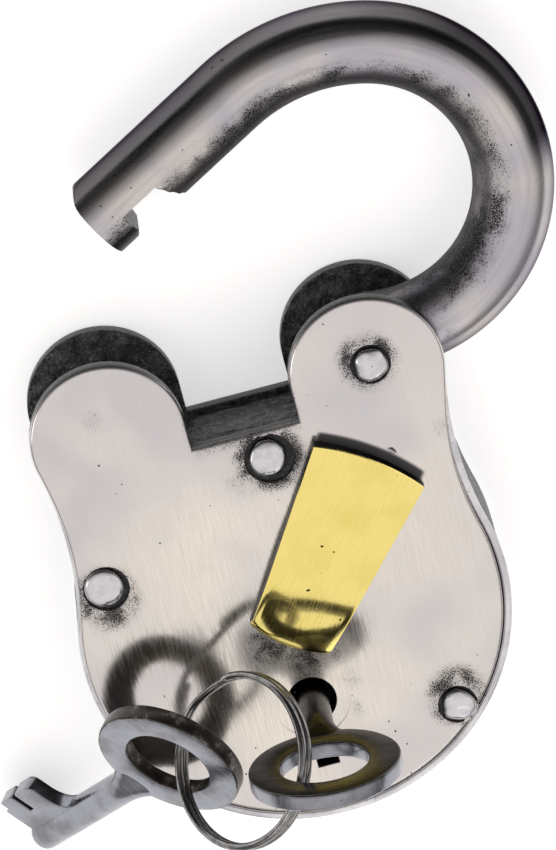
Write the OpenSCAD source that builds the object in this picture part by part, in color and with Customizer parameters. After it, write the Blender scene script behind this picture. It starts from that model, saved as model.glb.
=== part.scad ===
// Old-style riveted padlock, lying on its back: X to the right, Y toward the shackle,
// Z out of the front plate. The origin is the centre of the round belly, on the back face.
// The shackle is drawn open, the key is in the lock with its bit holding the pawl back.

/* [Case] */
// Thickness of the case over both side plates
case_t = 25; // [22:0.5:32]
// Thickness of each side plate
plate_t = 3.2; // [2.2:0.1:4]
// Radius of the round belly over the cast rim
belly_r = 42.1; // [39:0.1:51]
// Radius of the two lobes
lobe_r = 15; // [14:0.1:18]
// Distance of a lobe's centre from the middle line
lobe_x = 24.7; // [24:0.1:30]
// Height of the lobes' centres above the belly's centre
lobe_y = 45.5; // [44:0.1:55]
// Depth of the notch between the lobes, below the lobes' centres
notch_drop = 5.9; // [4:0.1:8]
// Radius of the hollow waist between belly and lobe
waist_r = 68; // [50:1:90]
// Width of the cast rim that shows outside the front plate
rim_w = 1.5; // [1:0.1:2.5]
// Seam between the rim and the plate's edge
rim_seam = 0.2; // [0.1:0.05:0.4]
// Thickness of the cast wall between the plates
wall_t = 4; // [3:0.1:5]
// Drop of the rim below the faces of the plates
rim_drop = 0.5; // [0.2:0.1:1]

/* [Rivets] */
// Shank radius of the three case rivets
rivet_r = 2.6; // [2:0.1:3.1]
// Radius of a rivet's domed head
rivet_head_r = 3.3; // [3.2:0.1:3.7]
// Height of the dome above the front plate
rivet_dome = 1.2; // [0.8:0.1:1.8]
// Radius of the sunk ring round each head
rivet_ring_r = 4.5; // [4.2:0.1:5]
// Depth of the sunk ring
rivet_ring_depth = 0.7; // [0.4:0.1:1]
// Radius of the wall's boss round a rivet
boss_r = 5.2; // [4.6:0.1:6]
// Clearance between a fixed pin and its hole
pin_gap = 0.05; // [0.02:0.01:0.1]
// Clearance between a turning piece and its pin
run_gap = 0.07; // [0.03:0.01:0.1]

/* [Shackle] */
// Diameter of the shackle's bar
bar_d = 15.6; // [12:0.1:16]
// Radius of the shackle pin's shank
hinge_r = 3; // [2.5:0.1:3.4]
// Distance of the shackle pin outward from its lobe's centre
hinge_out = 1.7; // [0:0.1:2.5]
// Height of the shackle pin above the lobe's centre
hinge_up = 1.5; // [0:0.1:2]
// Distance of the leg's middle line outward from its lobe's centre
leg_out = 2.95; // [1:0.05:3.2]
// How far the crown's radius is more than half the span
crown_bulge = 1.6; // [0.5:0.1:3]
// Distance from the bar's middle line to the pin
pin_inset = 2.5; // [0:0.1:2.6]
// Angle of the pin as seen from the crown's centre, below level
heel_angle = 42.2; // [38:0.1:46]
// Angle where the crown goes over into the flatter shoulder
shoulder_angle = 136; // [125:1:142]
// Reach of the nose below the lobe's centre
nose_reach = 18.4; // [16:0.1:20]
// Height of the lip at the nose
lip_h = 5.6; // [4:0.1:7]
// Height of the notch above the lip
nose_notch_h = 8.3; // [7:0.1:10]
// Depth of the notch
nose_notch_d = 6.4; // [5:0.1:7]
// Opening angle of the shackle
open_angle = 61; // [50:1:61]
// Thickness of the washers beside the shackle's heel
washer_t = 1.2; // [0.8:0.1:1.3]

/* [Keyhole and keys] */
// Distance of the keyhole from the middle line
key_x = -1; // [-2:0.1:2]
// Distance of the keyhole below the belly's centre
key_drop = 17; // [15:0.1:20]
// Radius of the round part of the keyhole
keyhole_r = 4.9; // [4.2:0.1:5.5]
// Width of the keyhole's slot
slot_w = 4.2; // [3.8:0.1:5]
// Reach of the slot below the keyhole's centre
slot_reach = 14; // [13.2:0.1:16]
// Radius of the shallow dish round the keyhole
dish_r = 7.5; // [6.5:0.1:9]
// Radius of the key's stem
stem_r = 3.3; // [2.8:0.1:3.4]
// Height of the bow's centre above the front plate
bow_rise = 32.7; // [30:0.1:36]
// Outer radius of the bow
bow_r = 14.5; // [13:0.1:15]
// Radius of the hole in the bow
bow_hole_r = 8.5; // [8:0.1:9]
// Thickness of the bow
bow_t = 3.2; // [2.6:0.1:3.4]
// Reach of the bit from the stem's axis
bit_reach = 12; // [11:0.1:12.5]
// Thickness of the bit
bit_t = 3.2; // [2.4:0.1:3.4]
// Width of the bit along the stem
bit_w = 13.5; // [12:0.1:14]
// Gap between the bit and the tip of the stem
tip_l = 1.8; // [1.6:0.1:2.4]
// Width of the ward slot in the bit
ward_slot_w = 1.5; // [1.4:0.1:2]
// Depth of the ward slot
ward_slot_d = 5; // [4:0.1:6]

/* [Ring] */
// Radius of the split ring at the middle of its wire
ring_r = 16.3; // [16:0.1:16.8]
// Radius of the ring's wire
wire_r = 0.8; // [0.6:0.05:0.9]

/* [Pawl] */
// Thickness of the pawl
pawl_t = 10; // [8:0.5:11]
// Radius of the pawl's post
post_r = 3; // [2.5:0.1:3.2]
// Radius of the pawl's eye
eye_r = 5.5; // [5:0.1:6]
// Gap between the drawn-back tooth and the closed nose
tooth_gap = 0.45; // [0.3:0.05:0.8]
// Gap between the key's bit and the pawl's tail
tail_gap = 1; // [0.9:0.1:1.3]

/* [Cover] */
// Length of the brass cover
cover_l = 38.8; // [38:0.1:41]
// Width of the cover's free end
cover_w = 23.1; // [20:0.1:24]
// Width of the cover's pivot end
cover_end_w = 16.5; // [14:0.1:18]
// Thickness of the cover
cover_t = 3.2; // [2.4:0.1:4]
// Gap between the cover and the front plate
cover_gap = 0.3; // [0.2:0.05:0.6]
// Distance of the cover's pivot from its narrow end
cover_inset = 7; // [6.5:0.1:8]
// Direction of the cover when it is swung aside
cover_angle = 53.2; // [45:0.1:60]
// Radius of the cover's pivot stud
stud_r = 2; // [1.6:0.1:2.4]

/* [Hidden] */
$fn = 72;

little = 0.01;                       // overlap that keeps cuts clean
gap_h = case_t - 2 * plate_t;        // clear height between the plates
plate_top = plate_t + gap_h;         // underside of the front plate
mid_z = case_t / 2;
notch_x = lobe_x - lobe_r;           // half width of the notch
notch_y = lobe_y - notch_drop;       // level of the notch's floor
plate_inset = rim_w + rim_seam;      // plate's edge inside the case's outline, at the belly
wall_end_y = notch_y + 0.6;          // the wall stops here, and is the shackle's stop

// centre of the hollow waist: it touches the belly and the lobe from outside
waist_a = belly_r + waist_r;
waist_b = lobe_r + waist_r;
waist_d = norm([lobe_x, lobe_y]);
waist_u = [lobe_x, lobe_y] / waist_d;
waist_s = (waist_a * waist_a - waist_b * waist_b + waist_d * waist_d) / (2 * waist_d);
waist_h = sqrt(waist_a * waist_a - waist_s * waist_s);
waist_c = waist_s * waist_u + waist_h * [waist_u.y, -waist_u.x];

// rivets sit a fixed distance inside the case's edge
rivet_edge = 5.3;
left_rivet_y = 16.8;
left_rivet_x = -(waist_c.x - sqrt(pow(waist_r + rivet_edge, 2) - pow(waist_c.y - left_rivet_y, 2)));
lower_rivet_a = -44.2;
lower_rivet_p = (belly_r - rivet_edge) * [cos(lower_rivet_a), sin(lower_rivet_a)];
top_rivet_p = [3, notch_y - 5.6];
left_rivet_p = [left_rivet_x, left_rivet_y];
case_rivets = [left_rivet_p, lower_rivet_p, top_rivet_p];
rivet_seat = 1.2;                    // depth of the flush head in the back plate
flush_wide = 0.6;                    // how much wider a flush head is than its shank
flush_drop = 0.2;                    // flush heads stay this far inside the back face

// shackle, in the closed pose
hinge_p = [lobe_x + hinge_out, lobe_y + hinge_up];
leg_x = -(lobe_x + leg_out);
crown_r = (hinge_p.x - leg_x) / 2 + crown_bulge;
crown_c = hinge_p - (crown_r + pin_inset) * [cos(heel_angle), -sin(heel_angle)];
shoulder_c = cos(180 - shoulder_angle);
shoulder_r = (crown_c.x - leg_x - crown_r * shoulder_c) / (1 - shoulder_c);
shoulder_o = crown_c - (shoulder_r - crown_r) * [cos(shoulder_angle), sin(shoulder_angle)];
bar_r = bar_d / 2;
heel_r = bar_r - 0.3;                // flat-sided round end that the pin goes through
heel_h = bar_d - 1.2;
washer_h = min(washer_t, gap_h / 2 - bar_r - 2 * pin_gap); // thinner where the bar leaves less room
nose_y = lobe_y - nose_reach;
lip_y = nose_y + lip_h;
heel_p = crown_c + crown_r * [cos(heel_angle), -sin(heel_angle)];
band_w = 1.2;                        // weld band round the bar
band_h = 0.12;
nose_round = 3;                      // rounded outer corner of the nose
nose_corner = [leg_x - bar_r + nose_round, nose_y + nose_round];
nose_sweep_r = norm(hinge_p - nose_corner) + nose_round + 0.4;

// key and lock
key_p = [key_x, -key_drop];
dish_depth = 0.3;
tip_z = plate_t + 0.4;
bit_z = tip_z + tip_l;
ward_slot_z = bit_z + 6;
bow_z = case_t + bow_rise;
key_yaw = -5.1;                      // turn of the key's flat plane from the X axis
stem_l = bow_z - tip_z;
seat_h = 1.2;
ward_angle = 225;                    // where the bit passes the ward on its turn
ward_play = 0.35;                    // gap on each side of the ward's fin
ward_post_r = 2;
ward_post_out = bit_reach + 3.4;     // the post stands outside the bit's circle
ward_post_p = key_p + ward_post_out * [cos(ward_angle), sin(ward_angle)];
fin_w = 3;
post_hole_z = 1;                     // floor of the blind holes in the back plate

// pawl, drawn back by the key
pawl_p = [-24, 4];
tooth_tip_x = leg_x + bar_r + tooth_gap;
tooth_h = 5.1;
tooth_y = lip_y + 0.5;
tail_x = key_x - bit_reach - tail_gap;
tail_end_y = -key_drop - 1;
pawl_z = mid_z - pawl_t / 2;
pawl_play = 0.15;                    // side play of the pawl between its collars
pawl_tail_w = 6.5;
spring_p = [-31, -4.6];
spring_loop_r = 2.2;
spring_t = 0.7;
spring_h = 8;
spring_stud_r = spring_loop_r - spring_t / 2 - pin_gap;
spring_bend_r = 10.5;

// cover
cover_u = [cos(cover_angle), sin(cover_angle)];
cover_end_p = [-2, -2.7];            // middle of the narrow end
cover_p = cover_end_p + cover_inset * cover_u;
cover_z = case_t + cover_gap;
cover_crown = 1.5;                   // how far the ends bow outward
nib_out = 3.6;                       // nib beyond the cover's free end
nib_side = 1.7;                      // nib to the side of the cover's middle line
nib_r = 0.9;
nib_h = 0.7;
foot_t = 1;                          // thickness of the stud's foot and of its washer

// second key and ring, as they lie
ring_p = [-16.05, -15.3, case_t + 23.06];
ring_tilt = [0, 52.5, 143.2];
key_2_p = [-29.55, -14.75, case_t + 14.55];
key_2_turn = [-47.6, -1, -51.9];

module case_outline(inset) {
    difference() {
        union() {
            circle(r = belly_r - inset, $fn = 180);
            for (side = [-1, 1]) {
                translate([side * lobe_x, lobe_y]) circle(r = lobe_r - inset);
            }
            polygon([
                [0, 0],
                [waist_c.x, waist_c.y],
                [lobe_x, lobe_y],
                [notch_x + inset, lobe_y],
                [notch_x + inset, notch_y - inset],
                [-notch_x - inset, notch_y - inset],
                [-notch_x - inset, lobe_y],
                [-lobe_x, lobe_y],
                [-waist_c.x, waist_c.y]
            ]);
        }
        for (side = [-1, 1]) {
            translate([side * waist_c.x, waist_c.y]) circle(r = waist_r + inset, $fn = 180);
        }
    }
}

// the plates fill the rim at the belly and reach the full outline at the lobes
module plate_outline() {
    intersection() {
        case_outline(0);
        union() {
            case_outline(plate_inset);
            translate([-belly_r, wall_end_y]) square([2 * belly_r, 2 * lobe_r]);
            translate([-lobe_x, 0]) square([2 * lobe_x, lobe_y]);
        }
    }
}

module side_plate() {
    linear_extrude(plate_t) plate_outline();
}

module case_rivet_holes() {
    for (p = case_rivets) {
        translate([p.x, p.y, -little]) cylinder(r = rivet_r + pin_gap, h = case_t + 2 * little);
    }
}

// hole for a shank and its flush head in the back plate
module flush_hole(p, shank_r) {
    translate([p.x, p.y, -little]) {
        cylinder(r = shank_r + flush_wide + pin_gap, h = rivet_seat + pin_gap + little);
        cylinder(r = shank_r + pin_gap, h = case_t);
    }
}

module head_ring(p) {
    translate([p.x, p.y, case_t - rivet_ring_depth]) cylinder(r = rivet_ring_r, h = plate_t);
}

module back_plate() {
    color("dimgray") difference() {
        side_plate();
        for (p = case_rivets) {
            flush_hole(p, rivet_r);
        }
        flush_hole(hinge_p, hinge_r);
        flush_hole(pawl_p, post_r);
        translate([spring_p.x, spring_p.y, post_hole_z]) {
            cylinder(r = spring_stud_r + pin_gap, h = case_t);
        }
        translate([ward_post_p.x, ward_post_p.y, post_hole_z]) {
            cylinder(r = ward_post_r + pin_gap, h = case_t);
        }
    }
}

// the side toward the shackle, where the wall is left out
module open_end() {
    translate([-belly_r, wall_end_y]) square([2 * belly_r, 3 * lobe_r]);
    translate([-lobe_x, 0]) square([2 * lobe_x, lobe_y + lobe_r]);
}

module case_wall() {
    color("black") difference() {
        union() {
            translate([0, 0, rim_drop]) linear_extrude(case_t - 2 * rim_drop) difference() {
                case_outline(0);
                case_outline(rim_w);
                open_end();
            }
            translate([0, 0, plate_t]) linear_extrude(gap_h) difference() {
                intersection() {
                    case_outline(rim_w - little);
                    union() {
                        difference() {
                            case_outline(0);
                            case_outline(wall_t);
                        }
                        translate(left_rivet_p) circle(r = boss_r);
                        translate(lower_rivet_p) circle(r = boss_r);
                    }
                }
                open_end();
            }
        }
        case_rivet_holes();
        nose_pocket();
    }
}

// the nose swings through here when the shackle closes
module nose_pocket() {
    intersection() {
        translate([hinge_p.x, hinge_p.y, plate_t]) cylinder(r = nose_sweep_r, h = gap_h, $fn = 180);
        translate([-belly_r, nose_y - 1.5, 0]) cube([belly_r - notch_x, case_t, case_t]);
    }
}

module notch_block() {
    block_x = notch_x + 1.3;
    block_back = 0.8;                // the block stays this far behind the plates' edges
    color("black") difference() {
        translate([0, 0, plate_t]) linear_extrude(gap_h) difference() {
            union() {
                translate([-block_x, notch_y - wall_t]) square([2 * block_x, wall_t - block_back]);
                translate(top_rivet_p) circle(r = boss_r);
            }
            translate([-block_x, notch_y - block_back]) square([2 * block_x, lobe_r]);
        }
        case_rivet_holes();
    }
}

module front_plate() {
    color("silver") difference() {
        union() {
            translate([0, 0, plate_top]) side_plate();
            nib();
        }
        case_rivet_holes();
        translate([hinge_p.x, hinge_p.y, 0]) cylinder(r = hinge_r + pin_gap, h = 2 * case_t);
        translate([cover_p.x, cover_p.y, 0]) cylinder(r = stud_r + run_gap, h = 2 * case_t);
        for (p = case_rivets) {
            head_ring(p);
        }
        head_ring(hinge_p);
        keyhole();
    }
}

// small raised burr that holds the swung cover
module nib() {
    nib_p = cover_end_p + (cover_l + nib_out) * cover_u + nib_side * [cover_u.y, -cover_u.x];
    translate([nib_p.x, nib_p.y, case_t - 1]) {
        cylinder(r1 = nib_r, r2 = nib_r - 0.4, h = 1 + nib_h, $fn = 24);
    }
}

module keyhole() {
    translate([key_p.x, key_p.y, 0]) {
        cylinder(r = keyhole_r, h = 2 * case_t);
        translate([-slot_w / 2, -slot_reach, 0]) cube([slot_w, slot_reach, 2 * case_t]);
        translate([0, 0, case_t - dish_depth]) cylinder(r = dish_r, h = plate_t);
    }
}

// rivet along Z: flush head in the back plate, dome on the front plate
module rivet(p, shank_r, head_r) {
    flush_r = shank_r + flush_wide;
    under = case_t - rivet_ring_depth + pin_gap;
    top = case_t + rivet_dome;
    dome_h = top - under - 0.5;
    dome_r = (head_r * head_r + dome_h * dome_h) / (2 * dome_h);
    dome_c = top - dome_r;
    dome_a = asin(head_r / dome_r);
    translate([p.x, p.y, 0]) rotate_extrude() polygon(concat(
        [[0, flush_drop], [flush_r, flush_drop], [flush_r, rivet_seat], [shank_r, rivet_seat],
            [shank_r, under], [head_r, under]],
        [for (i = [0 : 8]) [dome_r * sin(dome_a * (1 - i / 8)),
            dome_c + dome_r * cos(dome_a * (1 - i / 8))]]
    ));
}

module left_rivet() {
    color("gainsboro") rivet(left_rivet_p, rivet_r, rivet_head_r);
}

module top_rivet() {
    color("gainsboro") rivet(top_rivet_p, rivet_r, rivet_head_r);
}

module lower_rivet() {
    color("gainsboro") rivet(lower_rivet_p, rivet_r, rivet_head_r);
}

module shackle_pin() {
    color("gainsboro") rivet(hinge_p, hinge_r, rivet_head_r + 0.3);
}

// bar swept round an arc in the plane Z = 0
module arc_bar(centre, r, from, to) {
    translate([centre.x, centre.y, 0]) rotate([0, 0, from]) {
        rotate_extrude(angle = to - from, $fn = 180) translate([r, 0]) circle(r = bar_r);
    }
}

// narrow dressed weld where two stretches of the bar meet
module seam_band(p, turn) {
    translate([p.x, p.y, 0]) rotate([90, 0, turn]) {
        cylinder(r = bar_r + band_h, h = band_w, center = true, $fn = 180);
    }
}

module shackle() {
    notch_in = leg_x + bar_r;
    notch_floor = notch_in - nose_notch_d;
    color("slategray") translate([hinge_p.x, hinge_p.y, mid_z]) rotate([0, 0, -open_angle]) {
        translate([-hinge_p.x, -hinge_p.y, 0]) difference() {
            union() {
                arc_bar(crown_c, crown_r, -heel_angle, shoulder_angle);
                arc_bar(shoulder_o, shoulder_r, shoulder_angle, 180);
                translate([leg_x, nose_y, 0]) rotate([-90, 0, 0]) {
                    cylinder(r = bar_r, h = shoulder_o.y - nose_y, $fn = 180);
                }
                translate([heel_p.x, heel_p.y, -heel_h / 2]) cylinder(r = heel_r, h = heel_h);
                seam_band(crown_c + crown_r * [cos(shoulder_angle), sin(shoulder_angle)],
                    shoulder_angle);
                seam_band([leg_x, shoulder_o.y], 180);
            }
            translate([hinge_p.x, hinge_p.y, -bar_d]) cylinder(r = hinge_r + run_gap, h = 2 * bar_d);
            translate([0, 0, -bar_d]) linear_extrude(2 * bar_d) polygon([
                [notch_in + little, lip_y - 1.5],
                [notch_floor + 4.6, lip_y],
                [notch_floor, lip_y],
                [notch_floor, lip_y + nose_notch_h],
                [notch_in + little, lip_y + nose_notch_h + 2.6],
                [notch_in + bar_d, lip_y + nose_notch_h + 2.6],
                [notch_in + bar_d, lip_y - 1.5]
            ]);
            // rounded outer corner of the nose
            translate([leg_x - bar_r, nose_y, -bar_d]) linear_extrude(2 * bar_d) difference() {
                translate([-1, -1]) square(nose_round + 1);
                translate([nose_round, nose_round]) circle(r = nose_round);
            }
        }
    }
}

module heel_washer(z) {
    translate([hinge_p.x, hinge_p.y, z]) difference() {
        cylinder(r = bar_r - 1.2, h = washer_h);
        translate([0, 0, -1]) cylinder(r = hinge_r + pin_gap, h = washer_h + 2);
    }
}

module heel_washer_back() {
    color("dimgray") heel_washer(plate_t + pin_gap);
}

module heel_washer_front() {
    color("dimgray") heel_washer(plate_top - pin_gap - washer_h);
}

module pawl_post() {
    color("gray") translate([pawl_p.x, pawl_p.y, 0]) union() {
        translate([0, 0, flush_drop]) {
            cylinder(r = post_r + flush_wide, h = rivet_seat - flush_drop);
            cylinder(r = post_r, h = plate_top - flush_drop - 0.3);
        }
    }
}

module locking_pawl() {
    tip = [tooth_tip_x, tooth_y] - pawl_p;
    back_x = tip.x + 7.4;
    neck_x = tip.x + 4.4;
    neck_y = nose_y - 4.3 - pawl_p.y;
    tail = [tail_x, tail_end_y] - pawl_p;
    color("darkgray") translate([pawl_p.x, pawl_p.y, pawl_z]) difference() {
        union() {
            cylinder(r = eye_r, h = pawl_t);
            // upper arm with the tooth that enters the nose
            linear_extrude(pawl_t) polygon([
                [-eye_r * 0.8, eye_r * 0.4],
                [-0.5, neck_y - 3],
                [neck_x, neck_y + 1],
                [neck_x, tip.y],
                [tip.x, tip.y + 0.4],
                [tip.x, tip.y + tooth_h - 0.4],
                [tip.x + 1, tip.y + tooth_h],
                [back_x, tip.y + tooth_h],
                [back_x, neck_y + 3],
                [eye_r * 0.85, eye_r * 0.1]
            ]);
            // tail that the bit pushes
            linear_extrude(pawl_t) polygon([
                [-eye_r * 0.68, -eye_r * 0.5],
                [tail.x - pawl_tail_w, tail.y + 8],
                [tail.x - pawl_tail_w, tail.y + 1],
                [tail.x - pawl_tail_w + 1, tail.y],
                [tail.x - 0.5, tail.y],
                [tail.x, tail.y + 0.5],
                [tail.x, tail.y + 10],
                [eye_r * 0.8, -eye_r * 0.3]
            ]);
        }
        translate([0, 0, -1]) cylinder(r = post_r + run_gap, h = pawl_t + 2);
    }
}

module pawl_collar(z0, z1) {
    translate([pawl_p.x, pawl_p.y, z0]) difference() {
        cylinder(r = eye_r - 0.7, h = z1 - z0);
        translate([0, 0, -1]) cylinder(r = post_r + pin_gap, h = gap_h);
    }
}

module pawl_collar_back() {
    color("gray") pawl_collar(plate_t + pin_gap, pawl_z - pawl_play);
}

module pawl_collar_front() {
    color("gray") pawl_collar(pawl_z + pawl_t + pawl_play, plate_top - 0.4);
}

// flat spring: a loop round its stud and one long bend to the pawl's tail
module pawl_spring() {
    bend_c = [spring_p.x + spring_loop_r + spring_bend_r, spring_p.y];
    end_x = tail_x - pawl_tail_w - 0.4;
    end_a = acos((bend_c.x - end_x) / spring_bend_r);
    color("steelblue") translate([0, 0, mid_z - spring_h / 2]) linear_extrude(spring_h) union() {
        translate(spring_p) difference() {
            circle(r = spring_loop_r + spring_t / 2);
            circle(r = spring_loop_r - spring_t / 2);
        }
        translate(bend_c) intersection() {
            difference() {
                circle(r = spring_bend_r + spring_t / 2);
                circle(r = spring_bend_r - spring_t / 2);
            }
            polygon([
                [0, 0],
                [-2 * spring_bend_r, 0],
                [-2 * spring_bend_r, -2 * spring_bend_r],
                2 * spring_bend_r * [-cos(end_a), -sin(end_a)]
            ]);
        }
    }
}

module spring_stud() {
    color("gray") translate([spring_p.x, spring_p.y, post_hole_z + pin_gap]) {
        cylinder(r = spring_stud_r, h = mid_z + spring_h / 2);
    }
}

// ward: a post in the back plate with a fin that the slot in the bit passes
module ward() {
    fin_t = ward_slot_w - 2 * ward_play;
    fin_in = bit_reach - ward_slot_d + 1.2;
    fin_z = ward_slot_z + ward_play;
    color("gray") union() {
        translate([ward_post_p.x, ward_post_p.y, post_hole_z + pin_gap]) {
            cylinder(r = ward_post_r, h = fin_z + 1);
        }
        translate([key_p.x, key_p.y, fin_z]) rotate([0, 0, ward_angle]) {
            translate([fin_in, -fin_w / 2, 0]) cube([ward_post_out - fin_in, fin_w, fin_t]);
        }
    }
}

module key_seat() {
    color("gray") translate([key_p.x, key_p.y, plate_t]) difference() {
        cylinder(r = stem_r + 2, h = seat_h);
        translate([0, 0, -1]) cylinder(r = stem_r + 0.35, h = seat_h + 2);
    }
}

// tapered leaf with bowed ends; its narrow end is rounded down to the plate
module cover_outline() {
    wide = cover_w / 2;
    narrow = cover_end_w / 2;
    wide_r = (wide * wide + cover_crown * cover_crown) / (2 * cover_crown);
    narrow_r = (narrow * narrow + cover_crown * cover_crown) / (2 * cover_crown);
    intersection() {
        polygon([
            [-2, -narrow],
            [0, -narrow],
            [cover_l, -wide],
            [cover_l + 2, -wide],
            [cover_l + 2, wide],
            [cover_l, wide],
            [0, narrow],
            [-2, narrow]
        ]);
        translate([cover_l + cover_crown - wide_r, 0]) circle(r = wide_r, $fn = 180);
        translate([narrow_r - cover_crown, 0]) circle(r = narrow_r, $fn = 180);
    }
}

module brass_cover() {
    bend_r = cover_t * 0.9;
    end_x = -cover_crown;
    color("gold") translate([cover_end_p.x, cover_end_p.y, cover_z]) rotate([0, 0, cover_angle]) {
        difference() {
            linear_extrude(cover_t) cover_outline();
            translate([0, cover_w, 0]) rotate([90, 0, 0]) linear_extrude(2 * cover_w) difference() {
                translate([end_x - 1, cover_t - bend_r]) square([bend_r + 1, bend_r + 1]);
                translate([end_x + bend_r, cover_t - bend_r]) circle(r = bend_r);
            }
            translate([cover_inset, 0, -1]) cylinder(r = stud_r + pin_gap, h = cover_t);
        }
    }
}

module cover_stud() {
    foot_z = plate_top - 2 * (foot_t + 0.1);
    color("gold") translate([cover_p.x, cover_p.y, foot_z]) union() {
        cylinder(r = stud_r + 1.2, h = foot_t);
        cylinder(r = stud_r, h = cover_z + cover_t - 1.1 - foot_z);
    }
}

module cover_washer() {
    color("gray") translate([cover_p.x, cover_p.y, plate_top - foot_t - 0.1]) difference() {
        cylinder(r = stud_r + 2, h = foot_t);
        translate([0, 0, -1]) cylinder(r = stud_r + pin_gap, h = foot_t + 2);
    }
}

// key along Z: the stem's axis is Z, the bow's centre is the origin, the bit points to -X
module key_stem() {
    tip = -stem_l;
    difference() {
        union() {
            translate([0, 0, tip]) rotate_extrude() polygon([
                [0, 0],
                [stem_r - 1.2, 0],
                [stem_r - 0.35, 0.35],
                [stem_r, 1.2],
                [stem_r, stem_l - bow_r - 5],
                [stem_r + 0.5, stem_l - bow_r],
                [stem_r + 0.5, stem_l - bow_r + 2],
                [0, stem_l - bow_r + 2]
            ]);
            difference() {
                translate([-bit_reach, -bit_t / 2, tip + tip_l]) cube([bit_reach, bit_t, bit_w]);
                translate([-bit_reach - 1, -bit_t, tip + ward_slot_z - tip_z]) {
                    cube([ward_slot_d + 1, 2 * bit_t, ward_slot_w]);
                }
                // step at the tip side of the bit
                translate([-bit_reach - 1, -bit_t, tip + tip_l - 1]) cube([3.2, 2 * bit_t, 2.4]);
            }
        }
        rotate([90, 0, 0]) cylinder(r = bow_r, h = 4 * bow_t, center = true);
    }
}

module key_bow() {
    rotate([90, 0, 0]) difference() {
        cylinder(r = bow_r, h = bow_t, center = true);
        cylinder(r = bow_hole_r, h = 2 * bow_t, center = true);
    }
}

module place_key_1() {
    translate([key_p.x, key_p.y, bow_z]) rotate([0, 0, key_yaw]) children();
}

module place_key_2() {
    translate(key_2_p) rotate(key_2_turn) children();
}

module key_1_stem() {
    color("lightsteelblue") place_key_1() key_stem();
}

module key_1_bow() {
    color("lightsteelblue") place_key_1() key_bow();
}

module key_2_stem() {
    color("lightsteelblue") place_key_2() key_stem();
}

module key_2_bow() {
    color("lightsteelblue") place_key_2() key_bow();
}

// two turns of wire that lie side by side
module split_ring() {
    color("dimgray") translate(ring_p) rotate(ring_tilt) rotate_extrude($fn = 120) {
        translate([ring_r, 0]) union() {
            translate([0, wire_r * 0.9]) circle(r = wire_r, $fn = 24);
            translate([0, -wire_r * 0.9]) circle(r = wire_r, $fn = 24);
        }
    }
}

back_plate();
case_wall();
notch_block();
front_plate();
left_rivet();
top_rivet();
lower_rivet();
shackle_pin();
shackle();
heel_washer_back();
heel_washer_front();
pawl_post();
locking_pawl();
pawl_collar_back();
pawl_collar_front();
pawl_spring();
spring_stud();
ward();
key_seat();
brass_cover();
cover_stud();
cover_washer();
key_1_stem();
key_1_bow();
key_2_stem();
key_2_bow();
split_ring();
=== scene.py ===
"""Looks of an old-style riveted padlock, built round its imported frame. Sizes are in metres."""
import math

import bmesh
import bpy
from mathutils import Euler, Matrix, Vector, noise


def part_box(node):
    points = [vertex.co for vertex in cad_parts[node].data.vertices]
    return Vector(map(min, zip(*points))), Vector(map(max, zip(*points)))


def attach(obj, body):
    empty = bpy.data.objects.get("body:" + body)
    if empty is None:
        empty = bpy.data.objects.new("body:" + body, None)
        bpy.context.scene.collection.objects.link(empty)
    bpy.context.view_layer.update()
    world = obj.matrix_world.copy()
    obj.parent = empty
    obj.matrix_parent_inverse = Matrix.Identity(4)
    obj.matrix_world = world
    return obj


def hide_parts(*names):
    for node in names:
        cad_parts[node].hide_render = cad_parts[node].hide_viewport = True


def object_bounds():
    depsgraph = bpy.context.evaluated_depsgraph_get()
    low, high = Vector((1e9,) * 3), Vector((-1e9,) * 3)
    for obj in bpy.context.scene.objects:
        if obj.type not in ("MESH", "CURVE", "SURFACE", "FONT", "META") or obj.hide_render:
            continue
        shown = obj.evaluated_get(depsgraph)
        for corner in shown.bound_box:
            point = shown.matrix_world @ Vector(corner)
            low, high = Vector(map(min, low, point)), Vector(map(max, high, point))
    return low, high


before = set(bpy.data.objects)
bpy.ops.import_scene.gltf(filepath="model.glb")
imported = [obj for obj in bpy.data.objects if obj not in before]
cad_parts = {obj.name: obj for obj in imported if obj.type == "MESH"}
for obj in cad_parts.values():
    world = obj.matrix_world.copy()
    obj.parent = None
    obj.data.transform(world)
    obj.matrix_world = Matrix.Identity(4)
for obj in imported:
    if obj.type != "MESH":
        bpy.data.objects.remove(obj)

bl_info = {
    "name": "Riveted Padlock",
    "version": (1, 0, 0),
    "blender": (4, 5, 0),
    "location": "3D View > Sidebar > Padlock",
    "description": "Dresses the padlock's frame in steel, black casting and brass",
    "category": "Add Mesh",
}

MM = 0.001
SMOOTH_BELOW = math.radians(32)
COVER_SWING = 53.2                        # degrees from +X to the cover's length
COVER_INSET = 7 * MM                      # cover's narrow end from its stud
CAD_BOX = [[float(value) for value in corner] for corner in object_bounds()]
FRONT_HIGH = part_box("front_plate")[1]
BACK_LOW, BACK_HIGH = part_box("back_plate")
CASE_DEPTH = 25 * MM
FRONT_Z = BACK_LOW.z + CASE_DEPTH         # face of the front plate, without its burr
GAP_DEPTH = 0.7 * MM                      # depth of the dark gap round a rivet


def middle(node):
    """Middle of a CAD node's box."""
    low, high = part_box(node)
    return (low + high) / 2


# ---- sizes and colours

def length(name, text, value):
    """A length property in metres."""
    return bpy.props.FloatProperty(name=name, description=text, default=value, unit="LENGTH",
                                   precision=5)


def colour(name, text, value):
    """A colour property."""
    return bpy.props.FloatVectorProperty(name=name, description=text, default=value,
                                         subtype="COLOR", size=3, min=0, max=1)


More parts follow.
